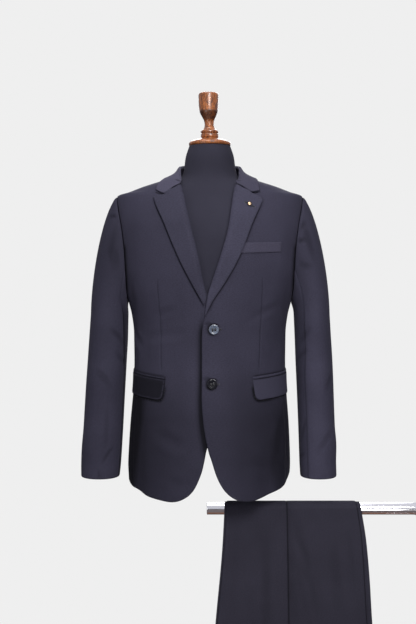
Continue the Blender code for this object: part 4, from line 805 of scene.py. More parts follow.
def cloth_grid(name, node, rows, thick, look, margin=0, flip=1.0, roll=0.0005,
               shade=0.0):
    """A cloth shell from a grid of outer points [down, across, xyz]; its inner face lies `thick` behind.

    Its edges roll under and are painted darker; margin columns only steer the normals.
    """
    rows = np.asarray(rows, float)
    down, across = np.gradient(rows, axis=0), np.gradient(rows, axis=1)
    normals = unit(np.cross(across, down)) * flip
    kept = slice(margin, -margin or None)
    rows, normals = rows[:, kept], normals[:, kept]
    if np.ndim(shade):
        shade = shade[:, kept]
    r, c = rows.shape[:2]
    step_c = np.linalg.norm(np.diff(rows, axis=1), axis=2).cumsum(axis=1)
    step_c = np.concatenate([np.zeros((r, 1)), step_c], axis=1)
    step_r = np.linalg.norm(np.diff(rows, axis=0), axis=2).cumsum(axis=0)
    step_r = np.concatenate([np.zeros((1, c)), step_r], axis=0)
    reach = [step_r, step_r[-1:] - step_r, step_c, step_c[:, -1:] - step_c]
    fall = np.minimum(sum(np.exp(-(d / EDGE_ROLL) ** 2) for d in reach), 1)[..., None]
    outer = rows - normals * roll * fall
    inner = rows - normals * (thick - 0.0003 * fall)
    uv = np.stack([step_c - step_c[:, -1:] / 2, step_r], -1).reshape(-1, 2)
    count = r * c
    ids = np.arange(count).reshape(r, c)
    quads = np.stack([ids[:-1, :-1], ids[:-1, 1:], ids[1:, 1:], ids[1:, :-1]], -1).reshape(-1, 4).tolist()
    faces = [tuple(q) for q in quads] + [tuple(count + i for i in reversed(q)) for q in quads]
    rim = np.concatenate([ids[0, :-1], ids[:-1, -1], ids[-1, :0:-1], ids[:0:-1, 0]]).tolist()
    faces += [(q, p, p + count, q + count) for p, q in zip(rim, rim[1:] + rim[:1])]
    # painted shade: the rolled edges darker, plus the shade given
    made = piece(name, np.vstack([outer.reshape(-1, 3), inner.reshape(-1, 3)]), faces, look,
                 uv=np.vstack([uv, uv]), painted_shade=two_faced((0.30 * fall[..., 0] + shade).ravel()))
    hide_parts(node)


def spread(count, ends):
    """Fractions 0 to 1 with extra ones close to both ends, so that a rolled edge has points to bend at."""
    return np.unique(np.round(np.concatenate([np.linspace(0, 1, count), ends, 1 - np.array(ends)]), 6))


def finer(points, down, across):
    """A grid of points resampled through smooth curves to `down` by `across`."""
    def along(a, count):
        last = len(a) - 1
        q = np.linspace(0, last, count)
        i = np.clip(q.astype(int), 0, last - 1)
        s = (q - i)[:, None, None]
        p1, p2 = a[i], a[i + 1]
        p0 = np.where((i > 0)[:, None, None], a[np.maximum(i - 1, 0)], 2 * p1 - p2)
        p3 = np.where((i + 2 <= last)[:, None, None], a[np.minimum(i + 2, last)], 2 * p2 - p1)
        bend, twist = 2 * p0 - 5 * p1 + 4 * p2 - p3, 3 * p1 - p0 - 3 * p2 + p3
        return 0.5 * (2 * p1 + (p2 - p0) * s + bend * s**2 + twist * s**3)
    return along(along(np.asarray(points, float), down).transpose(1, 0, 2), across).transpose(1, 0, 2)


def lathe(name, node, profile, sides, look, axis=(0, 0, 1), centre=(0, 0, 0), painted_band=None):
    """A turned piece: profile rows are (along, radius); the painted band given darkens its colour by `along`."""
    turn, centre = Vector((0, 0, 1)).rotation_difference(Vector(axis)), Vector(centre)
    rows, points, faces = turned_solid(profile, sides)
    dark = [float(painted_band(along)) for (along, _), row in zip(profile, rows) for _ in row] if painted_band else None
    return piece(name, [centre + turn @ p for p in points], faces, look, node, painted_shade=dark)


def profile_curve(rows, count):
    """A turning profile made smooth between its rows, keeping its crisp quirks."""
    rows = np.array(rows)
    d = np.concatenate([[0], np.cumsum(np.hypot(*np.diff(rows, axis=0).T))])
    q = np.unique(np.concatenate([np.linspace(0, d[-1], count), d]))
    return [(float(a), float(max(b, 0))) for a, b in zip(smooth(d, rows[:, 0])(q), smooth(d, rows[:, 1])(q))]


# ---------------------------------------------------------------- pocket outlines
def pocket_spot(side, phi0, z0, z1, s, drop):
    """A place on the pocket: s back from its front corner along a line from z0 to z1, and `drop` below it."""
    z = z0 + (z1 - z0) * s / POCKET_LENGTH
    phi = body.phi_after(phi0, z, s)
    return plan(side * body.phi_after(phi, z, POCKET_SLANT * drop), z - drop)


def flap_outline(side, phi0, z0, z1, height, cornered):
    """A pocket piece in the plan, its top edge running back from z0 to z1; a flap's lower corners are rounded."""
    top, low = ([pocket_spot(side, phi0, z0, z1, POCKET_LENGTH * k / 7, drop) for k in range(8)]
                for drop in (0, height))
    if not cornered:
        return outline((top, False), ([top[-1], low[-1]], False), (low[::-1], False), ([low[0], top[0]], False),
                       step=POCKET_STEP)
    front, back = FLAP_CORNERS
    trim = [p for p in through(low, 0.003) if math.dist(p, low[0]) > front and math.dist(p, low[-1]) > back]
    at_back = Vector(low[-1]).lerp(Vector(top[-1]), back / height)
    at_front = Vector(low[0]).lerp(Vector(top[0]), front / height)
    return outline((top, False), ([top[-1], tuple(at_back)], False), (bent(at_back, low[-1], trim[-1], 9), True),
                   (trim[::-1], True), (bent(trim[0], low[0], at_front, 9), True), ([tuple(at_front), top[0]], False),
                   step=POCKET_STEP)


def pocket_line(side, phi0, z0, drop):
    """A line along the pocket, `drop` below the flap's top edge."""
    marks = []
    for k in range(9):
        z = z0 + (POCKET_BACK_Z - z0) * k / 8 - drop
        phi = body.phi_after(phi0, z, POCKET_LENGTH * k / 8)
        marks.append(plan(side * (body.phi_after(phi, z, POCKET_SLANT * drop) if drop > 0.001 else phi), z))
    return marks


flap_rings, jet_rings, pocket_lines = {}, {}, {}
for side, (x_front, z_front) in POCKET_FRONT.items():
    start = float(body.phi_of(x_front, z_front))
    flap_rings[side] = flap_outline(side, start, z_front, POCKET_BACK_Z, FLAP_HEIGHT, True)
    jet_rings[side] = flap_outline(side, start, z_front + JET_RISE, POCKET_BACK_Z + JET_RISE, JET_HEIGHT, False)
    pocket_lines[side] = [pocket_line(side, start, z_front, drop) for drop in (-0.0070, 0.0002, 0.0478)]


# ---------------------------------------------------------------- jacket body
arm_x = smooth([r[0] for r in ARMHOLE], [r[1] for r in ARMHOLE])
ARM_MID, ARM_HALF = (ARMHOLE_LOW + ARMHOLE_TIP) / 2, (ARMHOLE_TIP - ARMHOLE_LOW) / 2


def armhole(step):
    """Point `step` of the right armhole as (phi, z): 0 at the shoulder tip, then the front, the underarm, the back."""
    theta = 2 * math.pi * step / ARMHOLE_STEPS
    z = ARM_MID + ARM_HALF * math.cos(theta)
    phi = 90.0 if step % (ARMHOLE_STEPS // 2) == 0 else float(body.phi_of(arm_x(z), z))
    return (phi, z) if theta <= math.pi else (180 - phi, z)


arm_front = [armhole(k) for k in range(0, FRONT_JUNCTION + 1)]
arm_under = [armhole(k) for k in range(FRONT_JUNCTION, BACK_JUNCTION + 1)]
arm_back = [armhole(k) for k in range(BACK_JUNCTION, ARMHOLE_STEPS + 1)]


def on_side(side, places):
    """Plan points of one side from (angle, height) places given for the right."""
    return [plan(side * phi, z) for phi, z in places]


def seam_line(side, phi_low, z_low, phi_high, z_high):
    """An upright seam's plan points, from low to high."""
    marks = [(phi_low + (phi_high - phi_low) * (k / 6) ** 3, z_low + (z_high - z_low) * k / 6) for k in range(7)]
    return through(on_side(side, marks), PANEL_STEP)


def hip_painted_shade(phi, z):
    """Painted shade: darker on the skirt, most of all in a wedge down each side below the pocket, and over the waist
    and the left breast.
    """
    turned, right = np.abs(phi), ramp(phi, -2, 12)
    low = ramp(z, 1.010, 0.900) * (0.36 + 0.24 * ramp(turned, 6, 50))
    left_edge = 53 + 70 * (0.93 - z)
    right_edge = 44 + 260 * np.maximum(z - 0.850, 0) + 120 * np.maximum(0.790 - z, 0)
    left_wedge = 0.56 * ramp(turned - left_edge, -5, 7) * ramp(z, 0.985, 0.950)
    right_wedge = 0.12 * ramp(turned - right_edge, -2.5, 2.5) * ramp(z, 0.955, 0.935)
    waist = (0.12 + 0.09 * right) * ramp(z, 1.18, 1.00) * ramp(turned, 2, 18) * (1 - 0.4 * ramp(z, 1.0, 0.9))
    wedge = left_wedge + (right_wedge - left_wedge) * right
    breast = 0.11 * (1 - right) * ramp(turned, 2, 14) * ramp(z, 1.13, 1.24) * ramp(z, 1.41, 1.35)
    front = (low * (1 - 0.30 * ramp(z, 0.80, 0.74)) + wedge + waist) * ramp(turned, 112, 82)
    return front + breast * ramp(turned, 90, 70)


def button_shadow_lines():
    """Shadow lines round the fastened buttons: the slit, the button's rim, and the cloth drawn towards it."""
    lines = []
    for _, x, z in BUTTONS:
        x, z = 1000 * x, 1000 * z
        slit = [(x + dx, z) for dx in (-12, 0, 8, 15.5)]
        around = [(x + 12.6 * math.cos(q), z + 12.6 * math.sin(q)) for q in np.radians(np.arange(30, 300, 18))]
        pull = [(x + dx, z + dz) for dx, dz in ((-20.5, 10.5), (-13, 14), (-5, 16))]
        lines += [(plan_xz(slit), 0.0015, 0.95), (plan_xz(around), 0.0022, 0.85), (plan_xz(pull), 0.0034, 0.40)]
    return lines


def front_shadows(side):
    """Where other pieces shade the front: lapel, sleeve, flap corner, notch, and the overlap or the buttons."""
    lapel_edge = [(x + side * 0.6, z - 1.0) for x, z in LAPELS[side][2]]
    lines = [(plan_xz(lapel_edge), 0.0017, 0.72)]
    lines.append((on_side(side, [(p, z) for p, z in arm_front if z < 1.300]), 0.0085, 1.00))
    corner = [p for p in flap_rings[side] if body.z(p[1]) < 0.982 and abs(math.degrees(p[0] / ROUND)) < 50][::2]
    lines.append(([(u - side * 0.0010, v - 0.0008) for u, v in corner], 0.0036, 0.90 if side > 0 else 0.55))
    lines.append((plan_xz(NOTCH_SHADOW[side]), 0.0020, 0.95))
    if side < 0:
        return lines + [(plan_xz([(x - 0.5, z) for x, z in FRONT_EDGES[1][:8]]), 0.0058, 1.00)]
    return lines + button_shadow_lines()


def body_panels(side, label):
    """Front, side body and back of one side; side is +1 for the viewer's right."""
    level = smooth([r[0] for r in HEM], [r[1 if side < 0 else 2] for r in HEM])
    front_low, back_low, centre_low = (float(level(p)) for p in (SIDE_SEAM_DEG, BACK_SEAM_DEG, 180))
    seam_front = seam_line(side, SIDE_SEAM_DEG, front_low, *arm_front[-1])
    seam_back = seam_line(side, BACK_SEAM_DEG, back_low, *arm_back[0])
    over, _, under = pocket_lines[side]
    # painted shadows along the top of the jetting and below the flap
    pocket_shadows = ((over, 0.0026, 0.50), (under, 0.0030, 0.45))

    base = plan_xz(FRONT_EDGES[side]) + [plan(side * SIDE_SEAM_DEG, front_low)]
    tucked = [(x + side * TUCKED_UNDER_ROLL, z) for x, z in ROLLS[side][::-1] if z > 1170]
    up = plan_xz(BREAK[side] + tucked[1:])
    neck = [up[-1]] + on_side(side, ((45, 1.4400), (66, 1.4480), (90, NECK_SIDE_Z)))
    shoulder = through([neck[-1]] + on_side(side, [(90, z) for z in SHOULDER_LEVELS]), PANEL_STEP)
    ring = outline((base[::-1], False), (up, False), (neck, False), (shoulder, True),
                   (on_side(side, arm_front), True), (seam_front[::-1], True), step=PANEL_STEP)

    def fit(u, v):
        """The crown of the hip, and the right front's edge lying over the left's."""
        phi, z = np.degrees(u / ROUND), body.z(v)
        crown = 0.0006 * bump(phi, side * 46, 9) * ramp(z, 1.0, 1.05)
        if side > 0:
            return crown + 0.0008 * bump(phi, -3, 12) * ramp(1.12 - z, 0, 0.1) * ramp(z, 0.76, 0.9)
        return crown - 0.0026 * ramp(phi, -14, -6) * ramp(z, 0.795, 0.830)
    # painted shade over the skirt, waist and left breast, and painted shadows from the lapel, sleeve, flap, notch,
    # overlap and buttons
    cloth_panel(f"front_cloth_{label}", f"front_{label}", ring, JACKET_WOOL, lift=fit, grain=side,
                sewn=[through(plan_xz(DARTS[side]), 0.004)], painted_darkening=hip_painted_shade,
                shadows=front_shadows(side) + [(line[:6], reach, depth) for line, reach, depth in pocket_shadows])

    hem = [seam_back[0]] + on_side(side, [(p, float(level(p))) for p in (102, 90, 78)]) + [seam_front[0]]
    ring = outline((hem, False), (seam_front, True), (on_side(side, arm_under), True), (seam_back[::-1], True),
                   step=PANEL_STEP)
    cloth_panel(f"side_cloth_{label}", f"side_body_{label}", ring, JACKET_WOOL, grain=side, painted_darkening=hip_painted_shade,
                shadows=[(line[4:], reach, depth) for line, reach, depth in pocket_shadows])

    centre = on_side(side, [(179.99, z) for z in (centre_low, 0.90, 1.04, 1.18, 1.30, 1.40, NECK_BACK_Z)])
    hem = [centre[0], plan(side * 145, float(level(145))), seam_back[0]]
    neck = on_side(side, ((90, NECK_SIDE_Z), (125, 1.4530), (155, 1.4520))) + [centre[-1]]
    ring = outline((hem, False), (seam_back, True), (on_side(side, arm_back), True), (shoulder[::-1], True),
                   (neck, False), (centre[::-1], False), step=PANEL_STEP)

    def vent(u, v):
        """The vent's upper layer stands a little proud of the lower one."""
        phi, z = np.abs(np.degrees(u / ROUND)), body.z(v)
        return (0.0013 if side > 0 else -0.0003) * ramp(phi, 166, 178) * ramp(1.0 - z, 0.0, 0.02)
    cloth_panel(f"back_cloth_{label}", f"back_{label}", ring, JACKET_WOOL, lift=vent, grain=side)


for side, label in SIDES:
    body_panels(side, label)


# ---------------------------------------------------------------- lapels, welt, flaps
def lapel(side, label):
    """One lapel facing; returns how high it stands over the body."""
    line = plan_xz(ROLLS[side])[::-1]
    us, vs = zip(*line)

    def stand(u, v):
        d, z = np.maximum(side * (u - np.interp(v, vs, us)), 0.0), body.z(v)
        high = ramp(z, 1.16, 1.26)
        bloom = (0.0016 + 0.0036 * high) * np.exp(-d / 0.030)
        dip = (0.0050 + 0.0010 * high) * ramp(z, 1.17, 1.205)
        return 0.0030 + 0.0016 * high + bloom - dip * np.exp(-(d / 0.0026) ** 2)
    parts = [(plan_xz(edge), False) for edge in (*LAPELS[side], ROLLS[side][::-1])]
    # the lapels' worsted is painted lighter; the left lapel also gets painted shade all over, the right one a painted
    # shadow along its buttonhole slit
    cloth_panel(f"lapel_cloth_{label}", f"lapel_{label}", outline(*parts, step=LAPEL_STEP), LAPEL_WOOL_PAINTED_LIGHTER,
                step=TRIM_STEP, lift=stand, thick=LAPEL_CLOTH, roll=0.0007, grain=side,
                painted_darkening=0.19 if side < 0 else 0.0,
                shadows=[(plan_xz([(99.3, 1373.6), (75.3, 1386.0)]), 0.0013, 0.95)] if side > 0 else ())
    return stand


lapel_stand = {side: lapel(side, label) for side, label in SIDES}

# the breast welt: worsted painted lighter, then painted darker all over
cloth_panel("breast_welt_cloth", "breast_welt", rounded(plan_xz(WELT), (0, 0.002, 0.002, 0), 0.004), COLLAR_WOOL_PAINTED_LIGHTER,
            step=TRIM_STEP, lift=0.0021, thick=0.0014, painted_darkening=0.18)

# painted darkening of each flap all over, painted shadow along the fold line under the jetting, and painted highlight
# just inside the flap's and the jetting's edges
POCKET_PAINT = {-1: (0.92, 0.10, 0.36, 0.30), 1: (0.14, 0.85, 0.0, 0.0)}
for side, label in SIDES:
    flap_darkening, fold, flap_edge_highlight, jet_edge_highlight = POCKET_PAINT[side]
    cloth_panel(f"pocket_flap_cloth_{label}", f"pocket_flap_{label}", flap_rings[side], LAPEL_WOOL_PAINTED_LIGHTER,
                step=TRIM_STEP, lift=0.0026, thick=FLAP_CLOTH, grain=side,
                shadows=[(pocket_lines[side][1], 0.0016, fold)], painted_darkening=flap_darkening, edge_highlight=flap_edge_highlight)
    cloth_panel(f"pocket_jet_cloth_{label}", f"pocket_jet_{label}", jet_rings[side], LAPEL_WOOL_PAINTED_LIGHTER,
                step=0.0024, lift=0.0021, thick=0.0013, roll=0.0005, grain=side,
                painted_darkening=flap_darkening * 0.75, edge_highlight=jet_edge_highlight)


# ---------------------------------------------------------------- sleeves
def sleeve_widths(columns):
    table = np.array(SLEEVE)[::-1]
    return [smooth(table[:, 0], table[:, k]) for k in columns]


SLEEVE_WIDTHS = {-1: sleeve_widths((1, 2, 5, 6)), 1: sleeve_widths((3, 4, 5, 6))}


def sleeve_tube(side, theta, z):
    """The plain sleeve below the armhole, as if on the right; theta turns from the outside over the front."""
    inner, outer, front, back = (width(z) for width in SLEEVE_WIDTHS[side])
    x = (inner + outer) / 2 + (outer - inner) / 2 * power(np.cos(theta), 0.92)
    y = (front + back) / 2 - (back - front) / 2 * power(np.sin(theta), 0.92)
    return np.stack(np.broadcast_arrays(x, y, z), axis=-1)


def sleeve_head(side, theta, at, rim):
    """The sleeve's head, from the armhole seam at 0 to the top of the plain sleeve at 1."""
    where = np.degrees(theta) / 360 * ARMHOLE_STEPS
    seam = np.stack([np.interp(where, np.arange(ARMHOLE_STEPS + 1), rim[:, k]) for k in range(3)], -1)
    tube = sleeve_tube(side, theta, np.full(len(theta), SLEEVE[0][0]))
    drop = (seam - tube)[:, 2:3]
    leave = [np.full(len(theta), 0.33), -0.25 * np.sin(theta), -0.30 - 0.35 * (1 - np.cos(theta))]
    leave, arrive = np.stack(leave, -1) * drop, np.array([0.02, 0, -1.15]) * drop
    from_seam, leaving, from_tube, arriving = hermite(at)
    return seam * from_seam + leave * leaving + tube * from_tube + arrive * arriving


def sleeve_fold(side, theta, z):
    """Soft creases across the forearm, a slight break at the elbow, and the drawn creases; also how deep the drawn
    creases' valleys are, for painted shade.
    """
    t = np.degrees(theta) % 360
    out = 0.0030 * bump(z, 0.835, 0.045) * bump(t, 60 if side < 0 else 40, 70)
    out = out - 0.0028 * bump(z, 0.905, 0.050) * bump(t, 75, 70)
    out = out - 0.0035 * bump(z, 1.060, 0.060) * bump(t, 95, 75)
    out = out + 0.0025 * bump(z, 0.985, 0.050) * bump(t, 80, 80)
    drawn = np.zeros(len(t))
    for which, t0, z0, t1, z1, bow, wide, deep in SLEEVE_CREASES:
        if which == side:
            drawn += crease(np.stack([t, z * 1000], 1), bowed(t0, z0 * 1000, t1, z1 * 1000, bow), wide, deep / 1000)
    return out + drawn, np.maximum(-drawn, 0) / 0.002


def sleeve_shade(side, half, t, share):
    """Darkening across one row: deep under the arm, softer over the top, lined along the seams."""
    right = side > 0
    if half == "under":
        from_seam = np.maximum(t, 0) * 0.14
        line = (0.30 if right else 0.42) * np.exp(-from_seam / 0.010)
        return ramp(share, 0.16, 0.40) * ((0.04 if right else 0.48) + line)
    dark = 0.14 * ramp(t, 0.88, 0.45) if right else 0.26 * bump(t, 0.78, 0.34)
    dark = dark + 0.20 * (1 - ramp(share, 0.10, 0.30))
    dark = dark + 0.16 * right * bump(t, 0.97, 0.16) * (1 - ramp(share, 0.30, 0.46))
    return dark + (0.30 if right else 0.12) * bump(t, 0.76, 0.055) * bump(share, 0.10, 0.10)


def sleeve(side, label):
    """Upper and under sleeve, each from the armhole seam down to the cuff; 0.36 of the way is the head."""
    head_rows = np.unique(np.concatenate([[0, 0.010, 0.022, 0.045], np.linspace(0.07, 0.985, 36)]))
    tube_top, cuff_rows = SLEEVE[0][0], [CUFF_Z + 0.0022, CUFF_Z + 0.0009, CUFF_Z]
    tube_rows = np.concatenate([np.linspace(tube_top, CUFF_Z + 0.004, 96), cuff_rows])
    ends = [armhole(k) for k in range(ARMHOLE_STEPS)] + [(90.0, ARMHOLE_TIP)]
    phi, z = np.array(ends).T
    rim = on_body(phi, body.v_of(z)) + np.array([0.0007, 0, 0])
    fore_top, fore_low = FOREARM[label]
    for half, columns in (("upper", 96), ("under", 56)):
        t = np.concatenate([[-0.006], spread(columns, (0.006, 0.016)), [1.006]])
        rows, shade = [], []
        for in_head, at in [(True, at) for at in head_rows] + [(False, at) for at in tube_rows]:
            share = (0.36 * at) if in_head else 0.36 + 0.64 * (tube_top - at) / (tube_top - CUFF_Z)
            fore = fore_top + (fore_low - fore_top) * min(1.0, share * 1.6)
            hind = HINDARM[0] + (HINDARM[1] - HINDARM[0]) * share
            lo, hi = (hind - 360, fore) if half == "upper" else (fore, hind)
            theta = np.radians((lo + (hi - lo) * t) % 360)
            p = sleeve_head(side, theta, at, rim) if in_head else sleeve_tube(side, theta, np.full(len(t), at))
            away = np.stack([np.cos(theta), -np.sin(theta), np.zeros(len(t))], -1)
            strength = min(1.0, at * 9) if in_head else 1.0
            fold, valley = sleeve_fold(side, theta, p[:, 2])
            p = p + away * (fold * strength)[:, None]
            if in_head:
                ease = 0.0010 * math.exp(-((at - 0.05) / 0.045) ** 2)
                p = p + away * ease * np.maximum(np.cos(theta), 0)[:, None]
            else:
                p[:, 2] -= 0.004 * np.sin(theta) * max(0.0, 1 - (at - CUFF_Z) / 0.06)
            p[:, 0] *= side
            rows.append(p)
            # painted shade in the drawn creases' valleys
            shade.append(sleeve_shade(side, half, t, share) + 0.45 * strength * valley)
        cloth_grid(f"{half}_sleeve_cloth_{label}", f"{half}_sleeve_{label}", rows, CLOTH, SLEEVE_WOOL_PAINTED_LIGHTER,
                   margin=1, flip=float(side), roll=0.0006, shade=np.array(shade))


for side, label in SIDES:
    sleeve(side, label)


# ---------------------------------------------------------------- collar
def collar():
    """Stand, roll and leaf in one cloth, swept from gorge to gorge round the neck."""
    rows = []
    for side, _ in SIDES:
        line = []
        for phi, z, *roll in COLLAR:
            turned, down = COLLAR_TRIM.get(phi, (0, 0)) if side > 0 else (0, 0)
            edge = Vector(on_body(phi - turned, body.v_of(z - down), 0.0046))
            seat = Vector(on_body(phi, body.v_of(float(np.interp(phi, *NECK_EDGE)))))
            hollow, roll = float(bump(phi, 98, 42)), Vector(roll)
            outward = Vector((roll.x, roll.y, 0)).normalized()
            foot = seat - outward * 0.0045 + Vector((0, 0, 0.0030))
            stand = foot.lerp(roll, 0.55) - outward * 0.0012
            turn_in = roll - outward * 0.0012 + Vector((0, 0, -0.0045))
            turn_out = roll + outward * 0.0062 + Vector((0, 0, -0.0032))
            sag = outward * 0.0020 - (Vector((0, 0, 0.0050)) + outward * 0.0025) * hollow
            fall = [turn_out.lerp(edge, s) + sag * math.sin(math.pi * s) for s in (0.3, 0.65)]
            section = [foot, stand, turn_in, roll + outward * 0.0022 + Vector((0, 0, 0.0006)), turn_out] + fall + [edge]
            line.append([(side * p.x, p.y, p.z) for p in section])
        marks = [(abs(x), z + up) for (x, z), up in zip(LAPELS[side][0], (3.0, 2.8, 2.6))] + [COLLAR_POINT[side]]
        end = [Vector(on_body(body.phi_of(x / 1000, z / 1000), body.v_of(z / 1000), up))
               for (x, z), up in zip(marks, (0.0075, 0.0078, 0.0062, 0.0046))]
        first = end[0]
        foot = first + Vector((0.0030, 0.0055, 0.0025))
        section = [foot, foot.lerp(first, 0.35), foot.lerp(first, 0.7), first + Vector((0.0008, -0.0004, 0)),
                   first.lerp(end[1], 0.35), end[1], end[2], end[3]]
        line.append([(side * p.x, p.y, p.z) for p in section])
        rows = line[::-1] if side < 0 else rows + line[1:]
    fine = finer(rows, 150, 44)
    # the collar's worsted is painted lighter, and its right half gets painted shade
    cloth_grid("collar_cloth", "collar", fine, 0.0018, COLLAR_WOOL_PAINTED_LIGHTER, flip=-1.0, roll=0.0006,
               shade=0.26 * ramp(fine[..., 0], -0.03, 0.04))


collar()


# ---------------------------------------------------------------- buttons, stud
def drilled_button(radius, hole_r):
    """A four-hole button's mesh, its back at z = 0: rolled rim, dished face, holes right through."""
    t, holes_at = radius * BUTTON_THICK, radius * HOLES_AT
    profile = [(0, 0), (0, radius * 0.80), (t * 0.12, radius * 0.92), (t * 0.45, radius), (t * 0.80, radius * 0.975),
               (t * 0.97, radius * 0.91), (t, radius * 0.85), (t * 0.95, radius * 0.78), (t * 0.80, radius * 0.70),
               (t * 0.70, radius * 0.62), (t * 0.66, radius * 0.50), (t * 0.66, 0)]
    _, points, faces = turned_solid(profile, 48)
    drill = bmesh.new()
    for x, y in ((1, 1), (1, -1), (-1, 1), (-1, -1)):
        bmesh.ops.create_cone(drill, cap_ends=True, segments=14, radius1=hole_r, radius2=hole_r, depth=t * 4,
                              matrix=Matrix.Translation((x * holes_at, y * holes_at, t * 0.5)))
    bits = bpy.data.meshes.new("drill bits")
    drill.to_mesh(bits)
    drill.free()
    blank, bits = put_in_scene("blank", outward_mesh("button blank", points, faces)), put_in_scene("bits", bits)
    cut = blank.modifiers.new("holes", "BOOLEAN")
    cut.operation, cut.solver, cut.object = "DIFFERENCE", "EXACT", bits
    mesh = bpy.data.meshes.new_from_object(blank.evaluated_get(bpy.context.evaluated_depsgraph_get()))
    bpy.data.objects.remove(blank)
    bpy.data.objects.remove(bits)
    return mesh


def strand(points, radius):
    """A thread through points, as points and faces of a closed tube with narrowed ends."""
    points, turned, verts = [Vector(p) for p in points], circle(6), []
    last = len(points) - 1
    for i, p in enumerate(points):
        way = (points[min(i + 1, last)] - points[max(i - 1, 0)]).normalized()
        side = way.orthogonal().normalized()
        up = way.cross(side)
        r = radius * (0.55 if i in (0, last) else 1.0)
        verts += [p + side * r * c + up * r * s for c, s in turned]
    return verts, tube_faces(len(points), len(turned))


def gathered(parts):
    verts, faces = [], []
    for part_verts, part_faces in parts:
        faces += [tuple(i + len(verts) for i in ring) for ring in part_faces]
        verts += part_verts
    return verts, faces


def sew_button(name, node, at, out, radius, drilled, look, tilt):
    """Places a drilled button on its cloth and sews it on with two groups of threads across its holes."""
    tilted = Matrix.Rotation(math.radians(tilt), 3, "Z").to_quaternion()
    turn = Vector((0, 0, 1)).rotation_difference(Vector(out)) @ tilted
    place = Matrix.Translation(at) @ turn.to_matrix().to_4x4()
    button = drilled.copy()
    button.name = name
    button.transform(place)
    button.materials.clear()
    finished(name, button, look, node).data.set_sharp_from_angle(angle=math.radians(38))
    hole, t, r = radius * HOLES_AT, radius * BUTTON_THICK, radius * 0.070
    parts = []
    for x in (-1, 1):
        for k in (-1, 0, 1):
            dx = x * hole + k * r * 1.5
            over = [(-1, t * 0.1), (-1.05, t * 0.55), (-0.8, t * 0.66 + r * 1.3), (0, t * 0.66 + r * 2.2),
                    (0.8, t * 0.66 + r * 1.3), (1.05, t * 0.55), (1, t * 0.1)]
            parts.append(strand([(dx, hole * y, z) for y, z in over], r))
    verts, faces = gathered(parts)
    piece(name + "_thread", [place @ v for v in verts], faces, BUTTON_THREAD)


front_button = drilled_button(BUTTON_R, BUTTON_R * 0.13)
for label, x, z in BUTTONS:
    phi, v = float(body.phi_of(x, z)), float(body.v_of(z))
    look, tilt = (HORN_PAINTED_LIGHTER, 4) if label == "upper" else (HORN_DARK, 12)
    at, out = Vector(on_body(phi, v, 0.0010)), body.normal(phi, v)
    sew_button(f"front_button_{label}", f"button_{label}", at, out, BUTTON_R, front_button, look, tilt)
cuff_button = drilled_button(CUFF_BUTTON_R, CUFF_BUTTON_R * 0.11)
theta = math.radians(HINDARM[1] + 9)
for side, label in SIDES:
    for k in range(4):
        z = CUFF_Z + CUFF_BUTTON_FIRST + CUFF_BUTTON_PITCH * k
        p, q = (Vector(sleeve_tube(side, np.array(t), np.array(z))) for t in (theta, theta + 0.02))
        along = q - p
        out = Vector((along.y, -along.x, 0)).normalized()
        out = -out if out.y < 0 else out
        p = p + out * 0.0009
        sew_button(f"sleeve_button_{label}_{k + 1}", f"cuff_button_{label}_{k + 1}", Vector((side * p.x, p.y, p.z)),
                   (side * out.x, out.y, 0), CUFF_BUTTON_R, cuff_button, HORN_DARK, 7 * k)

phi, v = float(body.phi_of(*STUD)), float(body.v_of(STUD[1]))
seat, out = Vector(on_body(phi, v, 0.0072)), Vector(body.normal(phi, v))
rim = [(0, 0), (0, STUD_R * 0.80), (0.0003, STUD_R * 0.96), (0.0008, STUD_R), (0.0011, STUD_R * 0.95),
       (0.0012, STUD_R * 0.84), (0.0012, 0)]
lathe("lapel_pin_rim", None, rim, 40, HORN_DARK, out, seat)
dome = [(0.0014, 0), (0.0014, STUD_R * 0.70), (0.0016, STUD_R * 0.74)]
dome += [(0.0017 + 0.0014 * math.sin(q), STUD_R * 0.74 * math.cos(q)) for q in np.radians([10, 25, 40, 55, 70, 82])]
lathe("lapel_pin", "lapel_stud", dome + [(0.0031, 0)], 40, BRASS, out, seat)


# ---------------------------------------------------------------- dress form, finial, stand
def dress_form():
    """The padded torso, turned in at its lower edge and closed flat under the neck cap."""
    sides = 96
    turned = np.arange(sides) * 360 / sides
    fitted = np.concatenate([np.linspace(0, form.top - 0.004, 96), [form.top - 0.002, form.top]])
    levels = [form.plain(turned, np.full(sides, v)) for v in fitted]
    lip = [levels[0] * np.array([pull, pull, 1]) - np.array([0, 0, down])
           for pull, down in ((0.90, 0.0060), (0.965, 0.0040), (0.99, 0.0015))]
    cap = [levels[-1] * np.array([pull, pull, 1]) + np.array([0, 0, up])
           for pull, up in ((0.985, 0.0004), (0.95, 0.0005))]
    stack = np.array(lip + levels + cap)
    stack[..., 2] = np.minimum(stack[..., 2], NECK_TOP)
    piece("jersey_form", stack.reshape(-1, 3), tube_faces(len(stack), sides), FORM_JERSEY, "form_torso")


def flange(name, node, x, y, radius):
    top = PLINTH_TOP + 0.0003
    rows = [(0, 0), (0, radius - 0.0008), (0.0008, radius), (0.0050, radius), (0.0068, radius - 0.0010),
            (0.0080, radius - 0.0034), (0.0086, radius - 0.0080), (0.0088, 0.0200), (0.0088, 0.0)]
    lathe(name, node, [(top + up, r) for up, r in rows], 64, CHROME, centre=(x, y, 0))


